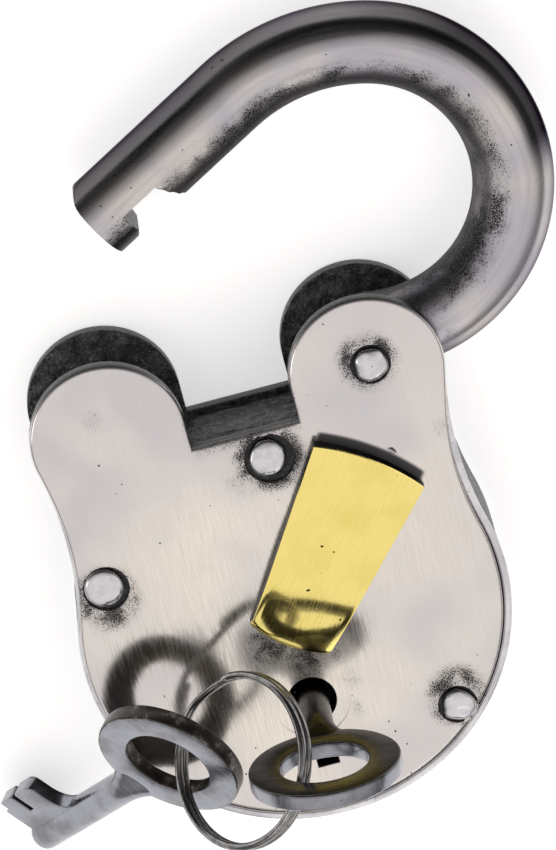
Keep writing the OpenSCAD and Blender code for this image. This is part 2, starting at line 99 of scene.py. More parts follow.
class CaseSizes(bpy.types.PropertyGroup):
    belly: length("Belly", "Radius of the round belly", -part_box("case_wall")[0].y)
    lobe: length("Lobe", "Radius of a lobe", 15 * MM)
    lobe_out: length("Lobe out", "Lobe's centre from the middle line", FRONT_HIGH.x - 15 * MM)
    lobe_up: length("Lobe up", "Lobes' centres above the belly's", FRONT_HIGH.y - 15 * MM)
    notch_drop: length("Notch", "Notch's floor below the lobes' centres", 5.9 * MM)
    waist: length("Waist", "Radius of the hollow waist", 68 * MM)
    plate: length("Plate", "Thickness of a side plate", BACK_HIGH.z - BACK_LOW.z)
    inset: length("Inset", "Plate's edge inside the case, at the belly", 1.7 * MM)
    rim: length("Rim", "Width of the cast rim", 1.5 * MM)
    wall: length("Wall", "Thickness of the cast wall", 4 * MM)
    round_over: length("Round edge", "Radius of the front plate's rounded edge", 0.9 * MM)


class ShackleSizes(bpy.types.PropertyGroup):
    bar: length("Bar", "Radius of the round bar", 7.8 * MM)
    crown: length("Crown", "Radius of the crown's middle line", 28.625 * MM)
    pin_inset: length("Pin inset", "Pin inside the bar's middle line", 2.5 * MM)
    leg_out: length("Leg", "Leg's middle line from the middle line, when closed", 27.65 * MM)
    nose: length("Nose", "Height of the nose's end, when closed", 27.1 * MM)
    lip: length("Lip", "Height of the lip at the nose", 5.6 * MM)
    notch_h: length("Notch height", "Height of the notch", 8.3 * MM)
    notch_d: length("Notch depth", "Depth of the notch", 6.4 * MM)


class KeySizes(bpy.types.PropertyGroup):
    bow: length("Bow", "Outer radius of the bow", 14.5 * MM)
    bow_hole: length("Hole", "Radius of the bow's hole", 8.5 * MM)
    bow_t: length("Bow thickness", "Thickness of the bow", 3.2 * MM)
    stem: length("Stem", "Radius of the stem", 3.3 * MM)
    stem_l: length("Length", "From the bow's centre to the tip", 54.1 * MM)
    bit: length("Bit", "Reach of the bit from the stem's axis", 12 * MM)
    wire: length("Wire", "Radius of the ring's wire", 0.8 * MM)
    ring: length("Ring", "Radius of the split ring", 16.27 * MM)


class CoverSizes(bpy.types.PropertyGroup):
    long: length("Length", "Length of the brass cover", 38.8 * MM)
    wide: length("Width", "Width of its free end", 23.1 * MM)
    narrow: length("Narrow end", "Width of its pivot end", 16.5 * MM)
    thick: length("Thickness", "Thickness of the brass", 3.2 * MM)
    crown: length("Crown", "How far its ends bow outward", 1.5 * MM)


class FinishColours(bpy.types.PropertyGroup):
    plate: colour("Plates", "Polished sheet of the side plates", (0.775, 0.725, 0.655))
    plate_cool: colour("Plates, cool", "Cooler patches on the plates", (0.55, 0.53, 0.56))
    cast: colour("Casting", "Rough black casting", (0.022, 0.022, 0.024))
    shackle: colour("Shackle", "Dark polished bar", (0.56, 0.53, 0.51))
    brass: colour("Brass", "Brass of the keyhole cover", (0.85, 0.71, 0.24))
    key: colour("Keys", "Grey satin steel of the keys", (0.29, 0.30, 0.335))
    rivet: colour("Rivets", "Bright rivet heads", (0.62, 0.61, 0.63))
    soot: colour("Pits", "Black in pits and gaps", (0.012, 0.011, 0.012))


# ---- materials

class Finish:
    """One material, built up out of nodes. Its coordinates are in metres."""

    def __init__(self, name, tint, roughness, metallic=1.0, own=False):
        self.material = bpy.data.materials.new(name)
        self.material.use_nodes = True
        self.tree = self.material.node_tree
        self.skin = self.tree.nodes["Principled BSDF"]
        self.skin.inputs["Metallic"].default_value = metallic
        self.skin.inputs["Roughness"].default_value = roughness
        self.skin.inputs["Base Color"].default_value = (*tint, 1)
        self.tint = tint
        if own:
            self.where = self.add("ShaderNodeAttribute", attribute_name="own").outputs["Vector"]
        else:
            self.where = self.add("ShaderNodeTexCoord").outputs["Object"]

    def add(self, kind, inputs=(), **settings):
        """Adds a node. A socket among the inputs is linked, and anything else is set."""
        node = self.tree.nodes.new(kind)
        for name, value in settings.items():
            setattr(node, name, value)
        for name, value in dict(inputs).items():
            if isinstance(value, bpy.types.NodeSocket):
                self.tree.links.new(value, node.inputs[name])
            else:
                node.inputs[name].default_value = value
        return node

    def sum(self, operation, a, b=0.0, c=0.0):
        """Result of a sum on numbers."""
        return self.add("ShaderNodeMath", {0: a, 1: b, 2: c}, operation=operation).outputs[0]

    def stretch(self, scale, where=None):
        """Coordinates with each axis scaled."""
        inputs = {0: where or self.where, 1: scale}
        return self.add("ShaderNodeVectorMath", inputs, operation="MULTIPLY").outputs[0]

    def noise(self, scale, detail=3.0, where=None, rough=0.5):
        """Soft noise from 0 to 1; scale counts features in a metre."""
        inputs = {"Vector": where or self.where, "Scale": scale, "Detail": detail,
                  "Roughness": rough}
        return self.add("ShaderNodeTexNoise", inputs).outputs["Fac"]

    def fade(self, value, low, high, to_low=0.0, to_high=1.0):
        """Smooth step of a value between two limits."""
        inputs = {"Value": value, "From Min": low, "From Max": high, "To Min": to_low,
                  "To Max": to_high}
        return self.add("ShaderNodeMapRange", inputs, interpolation_type="SMOOTHSTEP").outputs[0]

    def mix(self, factor, a, b):
        """Colour between a and b."""
        inputs = {"Factor": factor}
        node = self.add("ShaderNodeMix", inputs, data_type="RGBA")
        for socket, value in ((node.inputs[6], a), (node.inputs[7], b)):
            if isinstance(value, bpy.types.NodeSocket):
                self.tree.links.new(value, socket)
            else:
                socket.default_value = (*value[:3], 1)
        return node.outputs[2]

    def near(self, centre, inner, outer):
        """1 inside the inner distance of a point, 0 outside the outer one."""
        inputs = {0: self.where, 1: centre}
        gap = self.add("ShaderNodeVectorMath", inputs, operation="DISTANCE").outputs["Value"]
        return self.fade(gap, inner, outer, 1.0, 0.0)

    def axis(self, letter, where=None):
        """One axis of the coordinates."""
        return self.add("ShaderNodeSeparateXYZ", {0: where or self.where}).outputs[letter]

    def but(self, value):
        """1 less a value."""
        return self.sum("SUBTRACT", 1.0, value)

    def part(self, a, b):
        """Product of two numbers."""
        return self.sum("MULTIPLY", a, b)

    def most(self, a, b):
        """The larger of two numbers."""
        return self.sum("MAXIMUM", a, b)

    def stain(self, amount, tint):
        """Lays a colour over what is there, fully where the amount is 1."""
        self.tint = self.mix(amount, self.tint, tint)

    def paint(self, roughness=None, metallic=None):
        """Links the colour and other worked-out values to the surface."""
        for name, value in (("Base Color", self.tint), ("Roughness", roughness),
                            ("Metallic", metallic)):
            if value is not None:
                self.tree.links.new(value, self.skin.inputs[name])

    def bump(self, *layers):
        """Adds relief: each layer is a height from 0 to 1 and how high it stands in metres."""
        normal = None
        for height, distance in layers:
            inputs = {"Height": height, "Distance": distance, "Strength": 1.0}
            if normal is not None:
                inputs["Normal"] = normal
            normal = self.add("ShaderNodeBump", inputs).outputs["Normal"]
        self.tree.links.new(normal, self.skin.inputs["Normal"])
        return self.material


def flat_point(node, dx=0.0, dy=0.0):
    """A node's middle on the front plate's face."""
    point = middle(node)
    return (point.x + dx, point.y + dy, FRONT_Z)


def pits_from(finish, density, fine=3600.0):
    """Black pits, denser where density is nearer to 1; fine counts them in a metre."""
    grit = finish.noise(fine, 2.0, rough=0.7)
    level = finish.sum("MULTIPLY_ADD", density, -0.33, 0.80)
    gap = finish.sum("SUBTRACT", grit, level)
    return finish.fade(gap, -0.02, 0.03)


def sooty_edge(finish):
    """Painted shade: 1 on the sheet's rounded edge where it turns over toward the shackle."""
    normal = finish.add("ShaderNodeTexCoord").outputs["Normal"]
    tilt = finish.axis("Y", normal)
    return finish.part(finish.fade(tilt, 0.3, 0.75, 0, 0.97),
                       finish.fade(finish.axis("Y"), 37 * MM, 41 * MM))


def along_cover(finish):
    """Coordinates turned so that X runs along the open cover."""
    inputs = {"Vector": finish.where, "Angle": math.radians(-COVER_SWING)}
    return finish.add("ShaderNodeVectorRotate", inputs, rotation_type="Z_AXIS").outputs[0]


def cover_trace(finish):
    """Painted shadow: 1 in a black strip on the plate along the open cover's wide end; it stays
    on the plate when the cover swings.
    """
    cover = bpy.context.scene.padlock_cover
    turn = math.radians(COVER_SWING)
    leaf = along_cover(finish)
    stud = middle("cover_stud")
    start = stud.x * math.cos(turn) + stud.y * math.sin(turn) - COVER_INSET
    side = stud.y * math.cos(turn) - stud.x * math.sin(turn)
    half = cover.wide / 2
    across = finish.sum("ABSOLUTE", finish.sum("SUBTRACT", finish.axis("Y", leaf), side))
    share = finish.sum("DIVIDE", across, half)
    bow = finish.sum("MULTIPLY_ADD", finish.part(share, share), -cover.crown,
                     start + cover.long + cover.crown)
    past = finish.sum("SUBTRACT", finish.axis("X", leaf), bow)
    strip = finish.fade(past, 1.3 * MM, 2.2 * MM, 0.97, 0)
    strip = finish.part(strip, finish.fade(past, -1.5 * MM, -0.5 * MM))
    return finish.part(strip, finish.fade(across, half - 1.2 * MM, half, 1, 0))


def polished_sheet(colours):
    """Polished sheet with brush lines, black pits near the rivets and a few stray ones."""
    finish = Finish("polished_sheet", colours.plate, 0.2)
    # centre, where the pits are thickest, where they end, how thick they are
    spots = (
        (flat_point("left_rivet", 0, -2.4 * MM), 4.2, 9.2, 0.95),
        (flat_point("top_rivet", 0.3 * MM, 0.2 * MM), 5.0, 9.2, 1.0),
        (flat_point("top_rivet", -5 * MM, -2.2 * MM), 0.5, 7.0, 0.8),
        (flat_point("lower_rivet", 0.3 * MM, 2.2 * MM), 4.0, 9.2, 0.95),
        (flat_point("shackle_pin", -0.4 * MM, 1.0 * MM), 3.8, 8.2, 1.0),
        ((-6.5 * MM, -3.2 * MM, FRONT_Z), 2.0, 7.5, 1.0),
        ((0.5 * MM, -7.6 * MM, FRONT_Z), 2.0, 7.5, 1.0),
        ((5.0 * MM, -7.5 * MM, FRONT_Z), 0.5, 6.5, 0.8),
        ((7.4 * MM, -14.5 * MM, FRONT_Z), 0.0, 4.2, 0.6),
        ((7.3 * MM, -21.0 * MM, FRONT_Z), 0.0, 4.2, 0.6),
        ((-27.0 * MM, 50.0 * MM, FRONT_Z), 0.0, 5.0, 0.55),
        ((36.5 * MM, 31.0 * MM, FRONT_Z), 0.0, 5.0, 0.6),
    )
    density = None
    for centre, inner, outer, thick in spots:
        near = finish.part(finish.near(centre, inner * MM, outer * MM), thick)
        density = near if density is None else finish.most(density, near)
    height = finish.axis("Y")
    from_middle = finish.sum("ABSOLUTE", finish.axis("X"))
    notch = finish.part(finish.fade(height, 34.5 * MM, 40 * MM),
                        finish.fade(from_middle, 9 * MM, 13 * MM, 0.75, 0))
    uneven = finish.fade(finish.noise(300.0, 2.0), 0.3, 0.65, 0.62, 1.05)
    density = finish.part(finish.most(density, notch), uneven)
    stray = finish.fade(finish.noise(1250.0, 0.0), 0.868, 0.883)
    pits = finish.most(pits_from(finish, density), stray)
    brush = finish.noise(1.0, 4.0, finish.stretch((5200.0, 170.0, 170.0)))
    cool = finish.sum("ADD", finish.fade(from_middle, 12 * MM, 40 * MM, 0, 0.45),
                      finish.fade(height, 25 * MM, 58 * MM, 0, 0.35))
    cool = finish.sum("ADD", finish.fade(finish.noise(38.0, 2.0), 0.35, 0.7, 0, 0.75), cool)
    finish.stain(finish.sum("MINIMUM", cool, 1.0), colours.plate_cool)
    grey = [value * 0.80 for value in colours.plate]
    finish.stain(finish.fade(finish.noise(240.0, 3.0), 0.5, 0.8, 0, 0.22), grey)
    finish.stain(finish.fade(brush, 0.35, 0.7, 0, 0.5), grey)
    # painted shade on the edge toward the shackle and painted shadow past the cover's wide end
    soot = finish.most(sooty_edge(finish), cover_trace(finish))
    grime = finish.part(finish.sum("POWER", density, 2.6), 0.6)
    # near-black over the grime round the rivets and over the painted shade and shadow
    finish.stain(finish.most(grime, soot), (0.04, 0.038, 0.04))
    finish.stain(pits, colours.soot)
    rough = finish.fade(brush, 0.3, 0.8, 0.11, 0.21)
    rough = finish.sum("ADD", rough, finish.part(density, 0.2))
    rough = finish.most(finish.most(rough, finish.part(soot, 0.5)), finish.part(pits, 0.7))
    finish.paint(rough, finish.but(finish.most(pits, soot)))
    wave = finish.noise(34.0, 1.5)
    return finish.bump((wave, 0.5 * MM), (brush, 0.006 * MM), (finish.but(pits), 0.05 * MM))


def rough_casting(colours):
    """Rough black casting with painted highlights on its high spots and fine dark cracks."""
    finish = Finish("rough_casting", colours.cast, 0.55, 0.35)
    lump = finish.noise(420.0, 4.0, rough=0.6)
    grain = finish.noise(2100.0, 3.0, rough=0.7)
    crumb = finish.add("ShaderNodeTexVoronoi", {"Vector": finish.where, "Scale": 900.0})
    finish.stain(finish.fade(lump, 0.38, 0.68), (0.105, 0.107, 0.112))
    # painted highlights on the high spots of the grain
    finish.stain(finish.fade(grain, 0.56, 0.68, 0, 0.8), (0.30, 0.30, 0.305))
    vein = finish.noise(260.0, 5.0, rough=0.75)
    crack = finish.part(finish.fade(vein, 0.47, 0.5), finish.fade(vein, 0.53, 0.5))
    finish.stain(finish.part(crack, 0.8), (0.008, 0.008, 0.009))
    finish.paint(finish.fade(grain, 0.3, 0.8, 0.28, 0.6))
    return finish.bump((lump, 1.3 * MM), (crumb.outputs["Distance"], 0.15 * MM),
                       (grain, 0.15 * MM))


def ground_lip(colours):
    """Ground lip of the casting: bright, with fine dark specks."""
    finish = Finish("ground_lip", (0.50, 0.495, 0.53), 0.3)
    wear = finish.noise(130.0, 3.0)
    fine = finish.noise(900.0, 2.0)
    finish.stain(finish.fade(wear, 0.35, 0.65), (0.68, 0.67, 0.69))
    finish.stain(finish.fade(fine, 0.6, 0.75, 0, 0.4), (0.12, 0.12, 0.13))
    finish.paint(finish.fade(wear, 0.3, 0.7, 0.18, 0.3))
    return finish.bump((wear, 0.1 * MM), (fine, 0.01 * MM))


def hammered_head(colours):
    """Hammered bright heads, with painted shade down their sides."""
    finish = Finish("hammered_head", colours.rivet, 0.2)
    low = finish.fade(finish.axis("Z"), FRONT_Z - 0.2 * MM, FRONT_Z + 0.6 * MM, 1.0, 0.0)
    mark = finish.noise(420.0, 2.0)
    finish.stain(finish.fade(mark, 0.42, 0.7), (0.52, 0.51, 0.55))
    # painted shade on the head's side, down where it sits in the gap round it
    finish.stain(finish.part(low, 0.9), (0.05, 0.05, 0.055))
    pits = finish.fade(finish.noise(1900.0, 2.0), 0.70, 0.74)
    finish.stain(finish.part(pits, 0.6), colours.soot)
    finish.paint(finish.fade(mark, 0.3, 0.8, 0.16, 0.3))
    return finish.bump((mark, 0.05 * MM))


def polished_bar(colours):
    """Dark polished bar: streaks along it, pits on its inner side and near the heel."""
    finish = Finish("polished_bar", colours.shackle, 0.24)
    finish.skin.inputs["Specular Tint"].default_value = (0.3, 0.29, 0.31, 1)
    grain = finish.add("ShaderNodeAttribute", attribute_name="grain").outputs["Vector"]
    inside = finish.add("ShaderNodeAttribute", attribute_name="inside").outputs["Fac"]
    run = finish.axis("X", grain)
    streak = finish.noise(1.0, 4.0, finish.stretch((60.0, 900.0, 900.0), grain))
    broad = finish.noise(60.0, 2.0)
    uneven = finish.fade(finish.noise(190.0, 3.0), 0.35, 0.62, 0.62, 1.0)
    near_heel = finish.fade(run, 14 * MM, 34 * MM, 0.9, 0)
    density = finish.most(finish.part(finish.fade(inside, 0.4, 0.75), uneven),
                          finish.part(near_heel, uneven))
    density = finish.part(density, finish.fade(broad, 0.3, 0.6, 0.85, 1.0))
    stray = finish.fade(finish.noise(1100.0, 0.0), 0.855, 0.87)
    pits = finish.most(pits_from(finish, density, 4300.0), stray)
    finish.stain(finish.fade(broad, 0.35, 0.65), (0.44, 0.42, 0.47))
    finish.stain(finish.fade(streak, 0.45, 0.75, 0, 0.35), (0.30, 0.285, 0.30))
    # painted dark reflection on the outer side: black over the crown, grey toward the nose
    crown = finish.fade(run, 54 * MM, 62 * MM)
    arm = finish.fade(run, 80 * MM, 122 * MM)
    bound = finish.sum("ADD", inside, finish.fade(streak, 0.2, 0.8, -0.03, 0.03))
    black = finish.part(finish.fade(bound, 0.20, 0.36, 0.95, 0), crown)
    finish.stain(finish.part(black, finish.but(arm)), (0.022, 0.021, 0.024))
    grey = finish.part(finish.fade(bound, 0.02, 0.46, 0.9, 0), arm)
    finish.stain(grey, (0.07, 0.067, 0.075))
    finish.stain(finish.fade(inside, 0.7, 0.9, 0, 0.7), (0.10, 0.097, 0.105))
    grime = finish.part(finish.sum("POWER", density, 2.6), 0.5)
    finish.stain(grime, (0.08, 0.077, 0.08))
    finish.stain(pits, colours.soot)
    rough = finish.fade(streak, 0.3, 0.75, 0.2, 0.3)
    rough = finish.sum("ADD", rough, finish.part(density, 0.16))
    finish.paint(rough, finish.but(finish.part(pits, 0.8)))
    return finish.bump((streak, 0.012 * MM), (finish.but(pits), 0.05 * MM))


def yellow_brass(colours):
    """Yellow brass with fine lines along it and a few black pits."""
    finish = Finish("yellow_brass", colours.brass, 0.16)
    brush = finish.noise(1.0, 4.0, finish.stretch((150.0, 4200.0, 150.0), along_cover(finish)))
    patch = finish.noise(130.0, 3.0)
    pits = finish.fade(finish.noise(620.0, 1.0), 0.775, 0.79)
    deep = [value * shade for value, shade in zip(colours.brass, (0.86, 0.83, 0.62))]
    finish.stain(finish.fade(patch, 0.4, 0.75, 0, 0.5), deep)
    finish.stain(finish.fade(brush, 0.45, 0.75, 0, 0.35), deep)
    finish.stain(pits, colours.soot)
    finish.paint(finish.fade(brush, 0.3, 0.8, 0.07, 0.15))
    return finish.bump((brush, 0.002 * MM), (patch, 0.03 * MM), (finish.but(pits), 0.08 * MM))


def filed_key(colours):
    """Grey satin steel with file marks and dark smears, near-black brown on one side: scale on
    the first key's upper side, painted shade on the second key's underside that faces the plate.
    """
    finish = Finish("filed_key", colours.key, 0.24, own=True)
    file_marks = finish.noise(1.0, 4.0, finish.stretch((260.0, 260.0, 2600.0)))
    smear = finish.noise(170.0, 4.0)
    pits = finish.fade(finish.noise(1300.0, 2.0), 0.72, 0.76)
    finish.stain(finish.fade(smear, 0.42, 0.72), (0.17, 0.17, 0.185))
    finish.stain(finish.fade(file_marks, 0.5, 0.8, 0, 0.3), (0.37, 0.38, 0.42))
    worn = finish.fade(smear, 0.3, 0.7, 0.93, 0.7)
    # own +Y side: brown scale on the first key, painted shade on the second key's underside, so
    # that its reflection in the plate reads dark
    scale = finish.part(finish.fade(finish.axis("Y"), 0.7 * MM, 1.5 * MM), worn)
    finish.stain(scale, (0.055, 0.047, 0.042))
    finish.stain(finish.part(pits, 0.8), colours.soot)
    finish.paint(finish.fade(file_marks, 0.3, 0.8, 0.18, 0.32))
    return finish.bump((file_marks, 0.012 * MM), (smear, 0.1 * MM))


def mottled(finish, grain, limits, tint, gloss, relief):
    """Patches of a second colour, with roughness and relief from the same noise. grain is
    the noise's scale, detail and roughness, gloss the surface's roughness at its ends."""
    scale, detail, rough = grain
    patch = finish.noise(scale, detail, rough=rough)
    finish.stain(finish.fade(patch, *limits), tint)
    finish.paint(finish.fade(patch, 0.3, 0.8, *gloss))
    return finish.bump((patch, relief))


def black_scale(colours):
    """Black scale on sawn edges, such as the cover's sides and the nose's end."""
    finish = Finish("black_scale", (0.012, 0.012, 0.013), 0.42, 0.5)
    return mottled(finish, (900.0, 4.0, 0.65), (0.45, 0.8), (0.11, 0.105, 0.11), (0.3, 0.55),
                   0.15 * MM)


def shaded_key_rim(colours):
    """Painted shade on the second key's bow rims: near-black brown, steel-grey in places, so
    that their reflection in the plate reads dark.
    """
    finish = Finish("shaded_key_rim", (0.042, 0.035, 0.031), 0.34, 0.8)
    return mottled(finish, (420.0, 4.0, 0.6), (0.52, 0.72), (0.22, 0.20, 0.19), (0.26, 0.42),
                   0.06 * MM)


def drawn_wire(colours):
    """Dark polished wire."""
    finish = Finish("drawn_wire", (0.30, 0.295, 0.29), 0.2, own=True)
    return mottled(finish, (900.0, 3.0, 0.5), (0.35, 0.75), (0.17, 0.165, 0.165), (0.16, 0.24),
                   0.004 * MM)


def blued_strip(colours):
    """Blued spring strip with straw-coloured patches."""
    finish = Finish("blued_strip", (0.10, 0.14, 0.28), 0.26)
    return mottled(finish, (160.0, 2.0, 0.5), (0.35, 0.7), (0.30, 0.24, 0.34), (0.2, 0.34),
                   0.01 * MM)


def turned_steel(colours):
    """Plain turned steel of the lockwork, with a film of oil."""
    finish = Finish("turned_steel", (0.45, 0.45, 0.46), 0.35)
    ridges = finish.noise(1.0, 3.0, finish.stretch((300.0, 300.0, 5200.0)))
    finish.stain(finish.fade(finish.noise(260.0, 3.0), 0.4, 0.7), (0.24, 0.23, 0.22))
    finish.paint(finish.fade(ridges, 0.3, 0.8, 0.28, 0.45))
    return finish.bump((ridges, 0.02 * MM))


def finish_of(maker):
    """The material that a maker builds, made once."""
    found = bpy.data.materials.get(maker.__name__)
    return found or maker(bpy.context.scene.padlock_colours)


# ---- mesh helpers

def spread(start, end, count):
    """Even steps from start to end, both included."""
    return [start + (end - start) * k / count for k in range(count + 1)]


def around(count):
    """Even angles round a full turn."""
    return [2 * math.pi * k / count for k in range(count)]


def ease(value):
    """Smooth step of a value from 0 to 1."""
    value = min(1, max(0, value))
    return value * value * (3 - 2 * value)


def fall(radius, distance):
    """How far a rounded edge falls back at a distance from the end of a piece."""
    gap = radius - distance
    return radius - math.sqrt(max(0, radius ** 2 - gap ** 2)) if gap > 0 else 0


def add_piece(name, bm, makers, body, node, place=None):
    """Turns a bmesh into a piece that rides on a body and stands for a CAD node. A piece with
    a place keeps the coordinates it had before it was put there as its own."""
    bmesh.ops.remove_doubles(bm, verts=bm.verts, dist=1e-7)
    bmesh.ops.recalc_face_normals(bm, faces=bm.faces)
    if place is not None:
        own = bm.verts.layers.float_vector.new("own")
        for vertex in bm.verts:
            vertex[own] = vertex.co
        bm.transform(place)
    mesh = bpy.data.meshes.new(name)
    bm.to_mesh(mesh)
    bm.free()
    for maker in makers:
        mesh.materials.append(finish_of(maker))
    mesh.polygons.foreach_set("use_smooth", [True] * len(mesh.polygons))
    mesh.set_sharp_from_angle(angle=SMOOTH_BELOW)
    piece = bpy.data.objects.new(name, mesh)
    bpy.context.scene.collection.objects.link(piece)
    bpy.context.view_layer.update()
    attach(piece, body)
    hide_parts(node)
    return piece


def loft(bm, rows, ring=False, tone=0):
    """Skin over closed rows of points. ring joins the last row to the first."""
    grid = [[bm.verts.new(point) for point in row] for row in rows]
    count = len(rows[0])
    for near, far in list(zip(grid, grid[1:])) + ([(grid[-1], grid[0])] if ring else []):
        for i in range(count):
            j = (i + 1) % count
            bm.faces.new((near[i], near[j], far[j], far[i])).material_index = tone
    return grid


def cap(bm, row, tone=0):
    """Closes a row of vertices with one face."""
    bm.faces.new(row).material_index = tone


def closed_skin(bm, rows, first=0, last=0):
    """Skin over closed rows of points with a face at either end, in their tones."""
    grid = loft(bm, rows)
    cap(bm, grid[0], first)
    cap(bm, grid[-1], last)
    return grid


def turned(profile, steps, axis, centre, shaped):
    """Rows of a profile of (radius, height) points turned round an axis, each point shaped."""
    rows = []
    for radius, height in profile:
        row = []
        for a in around(steps):
            u, v = radius * math.cos(a), radius * math.sin(a)
            point = Vector((u, v, height) if axis == "Z" else (u, height, v))
            row.append(shaped(point, a) + centre)
        rows.append(row)
    return rows


def mitres(points):
    """Direction out of the material at each point of a loop, long enough at a corner that
    the sides stay parallel. The material is on the left of the loop's direction."""
    result = []
    for i, point in enumerate(points):
        before = (point - points[i - 1]).normalized()
        after = (points[(i + 1) % len(points)] - point).normalized()
        out = Vector((before.y + after.y, -before.x - after.x)).normalized()
        result.append(out / max(0.35, out.dot(Vector((after.y, -after.x)))))
    return result


def arc(centre, radius, start, end, count):
    """Points on an arc; angles in degrees."""
    return [Vector((centre[0] + radius * math.cos(a), centre[1] + radius * math.sin(a)))
            for a in map(math.radians, spread(start, end, count))]


def circle_loop(centre, radius, steps, way=-1):
    """A round loop. It runs clockwise, as round a hole, unless way is 1."""
    return [Vector((centre[0] + radius * math.cos(way * a),
                    centre[1] + radius * math.sin(way * a))) for a in around(steps)]


def edge_rows(loop, z, radius, toward, steps=5):
    """Rows of a rounded edge, from the flat face at height z to the side. toward is -1 for an
    upper edge and 1 for a lower one."""
    out = mitres(loop)
    rows = []
    for a in spread(0, math.pi / 2, steps):
        inset = radius * (1 - math.sin(a))
        height = z + toward * radius * (1 - math.cos(a))
        rows.append([(*(p - n * inset), height) for p, n in zip(loop, out)])
    return rows


def ring_edges(bm, row):
    """The edges round a closed row of vertices."""
    return [bm.edges.get((row[i - 1], row[i])) for i in range(1, len(row))] + [
        bm.edges.get((row[-1], row[0]))]


def sheet_metal(bm, loops, z_low, z_high, tones=(0, 1, 2)):
    """A plate with holes. Each loop is (points, upper edge radius, lower edge radius, depth);
    a depth makes the hole blind from above. tones are those of the top, sides and bottom."""
    top_edges, low_edges = [], []
    top_tone, side_tone, low_tone = tones
    for points, upper, lower, depth in loops:
        rows = edge_rows(points, z_high, upper, -1)
        if depth:
            rows.append([(p.x, p.y, z_high - depth) for p in points])
            grid = loft(bm, rows, tone=top_tone)
            cap(bm, grid[-1], side_tone)
        else:
            under = edge_rows(points, z_low, lower, 1)[::-1]
            grid = loft(bm, rows, tone=top_tone)
            loft(bm, [rows[-1], under[0]], tone=side_tone)
            low_edges += ring_edges(bm, loft(bm, under, tone=side_tone)[-1])
        top_edges += ring_edges(bm, grid[0])
    for edges, tone in ((top_edges, top_tone), (low_edges, low_tone)):
        filled = bmesh.ops.triangle_fill(bm, use_beauty=True, edges=edges)
        for face in filled["geom"]:
            if isinstance(face, bmesh.types.BMFace):
                face.material_index = tone


# ---- case

def case_loop(case):
    """The case's outline, anticlockwise from the bottom of the belly."""
    far = Vector((case.lobe_out, case.lobe_up))
    a = case.belly + case.waist
    b = case.lobe + case.waist
    along = (a * a - b * b + far.length ** 2) / (2 * far.length)
    unit = far.normalized()
    waist = unit * along + Vector((unit.y, -unit.x)) * math.sqrt(a * a - along * along)
    low = math.degrees(math.atan2(waist.y, waist.x))
    high = math.degrees(math.atan2(far.y - waist.y, far.x - waist.x))
    notch_x = case.lobe_out - case.lobe
    drop = case.notch_drop
    right = arc((0, 0), case.belly, -90, low, 60)
    right += arc(waist, case.waist, low + 180, high, 18)[1:]
    right += arc(far, case.lobe, high - 180, 180, 48)[1:]
    right += [Vector((notch_x, case.lobe_up - drop * k / 4)) for k in range(1, 5)]
    right += [Vector((notch_x * (1 - k / 6), case.lobe_up - drop)) for k in range(1, 7)]
    return right + [Vector((-p.x, p.y)) for p in right[-2:0:-1]]


def plate_loop(case):
    """Outline of a side plate: full size at the lobes, inside the rim at the belly's bottom
    and right, and worn nearly flush with it at the left."""
    loop = case_loop(case)
    top = case.lobe_up - case.notch_drop
    result = []
    for point, direction in zip(loop, mitres(loop)):
        outer = abs(point.x) > case.lobe_out or point.y < 0
        drop = max(0, top - point.y) if outer else 0
        inset = case.inset * (1 - math.exp(-(drop / (14 * MM)) ** 1.5))
        if point.x < 0:
            inset *= 1 - 0.7 * ease((point.y + 34 * MM) / (22 * MM))
        result.append(point - direction * inset)
    return result


def keyhole_loop(key_p, radius, slot, reach):
    """Round hole with a slot below it, clockwise."""
    half = slot / 2
    gap = math.degrees(math.asin(half / radius))
    round_part = arc(key_p, radius, -90 - gap, -450 + gap, 56)
    corner = key_p.y - reach
    low = [Vector((key_p.x + half, corner)), Vector((key_p.x - half, corner))]
    side = [Vector((key_p.x + half, y)) for y in spread(key_p.y - radius, corner, 6)[1:-1]]
    return round_part + side + low + [Vector((-p.x + 2 * key_p.x, p.y)) for p in side[::-1]]


RIVET_GAPS = {   # centre of the dark gap from the rivet's own, and its radius
    "left_rivet": (0.45 * MM, -0.4 * MM, 4.35 * MM),
    "top_rivet": (0.35 * MM, -0.2 * MM, 4.8 * MM),
    "lower_rivet": (-0.15 * MM, 0.2 * MM, 3.75 * MM),
    "shackle_pin": (0, 0.1 * MM, 3.75 * MM),
}


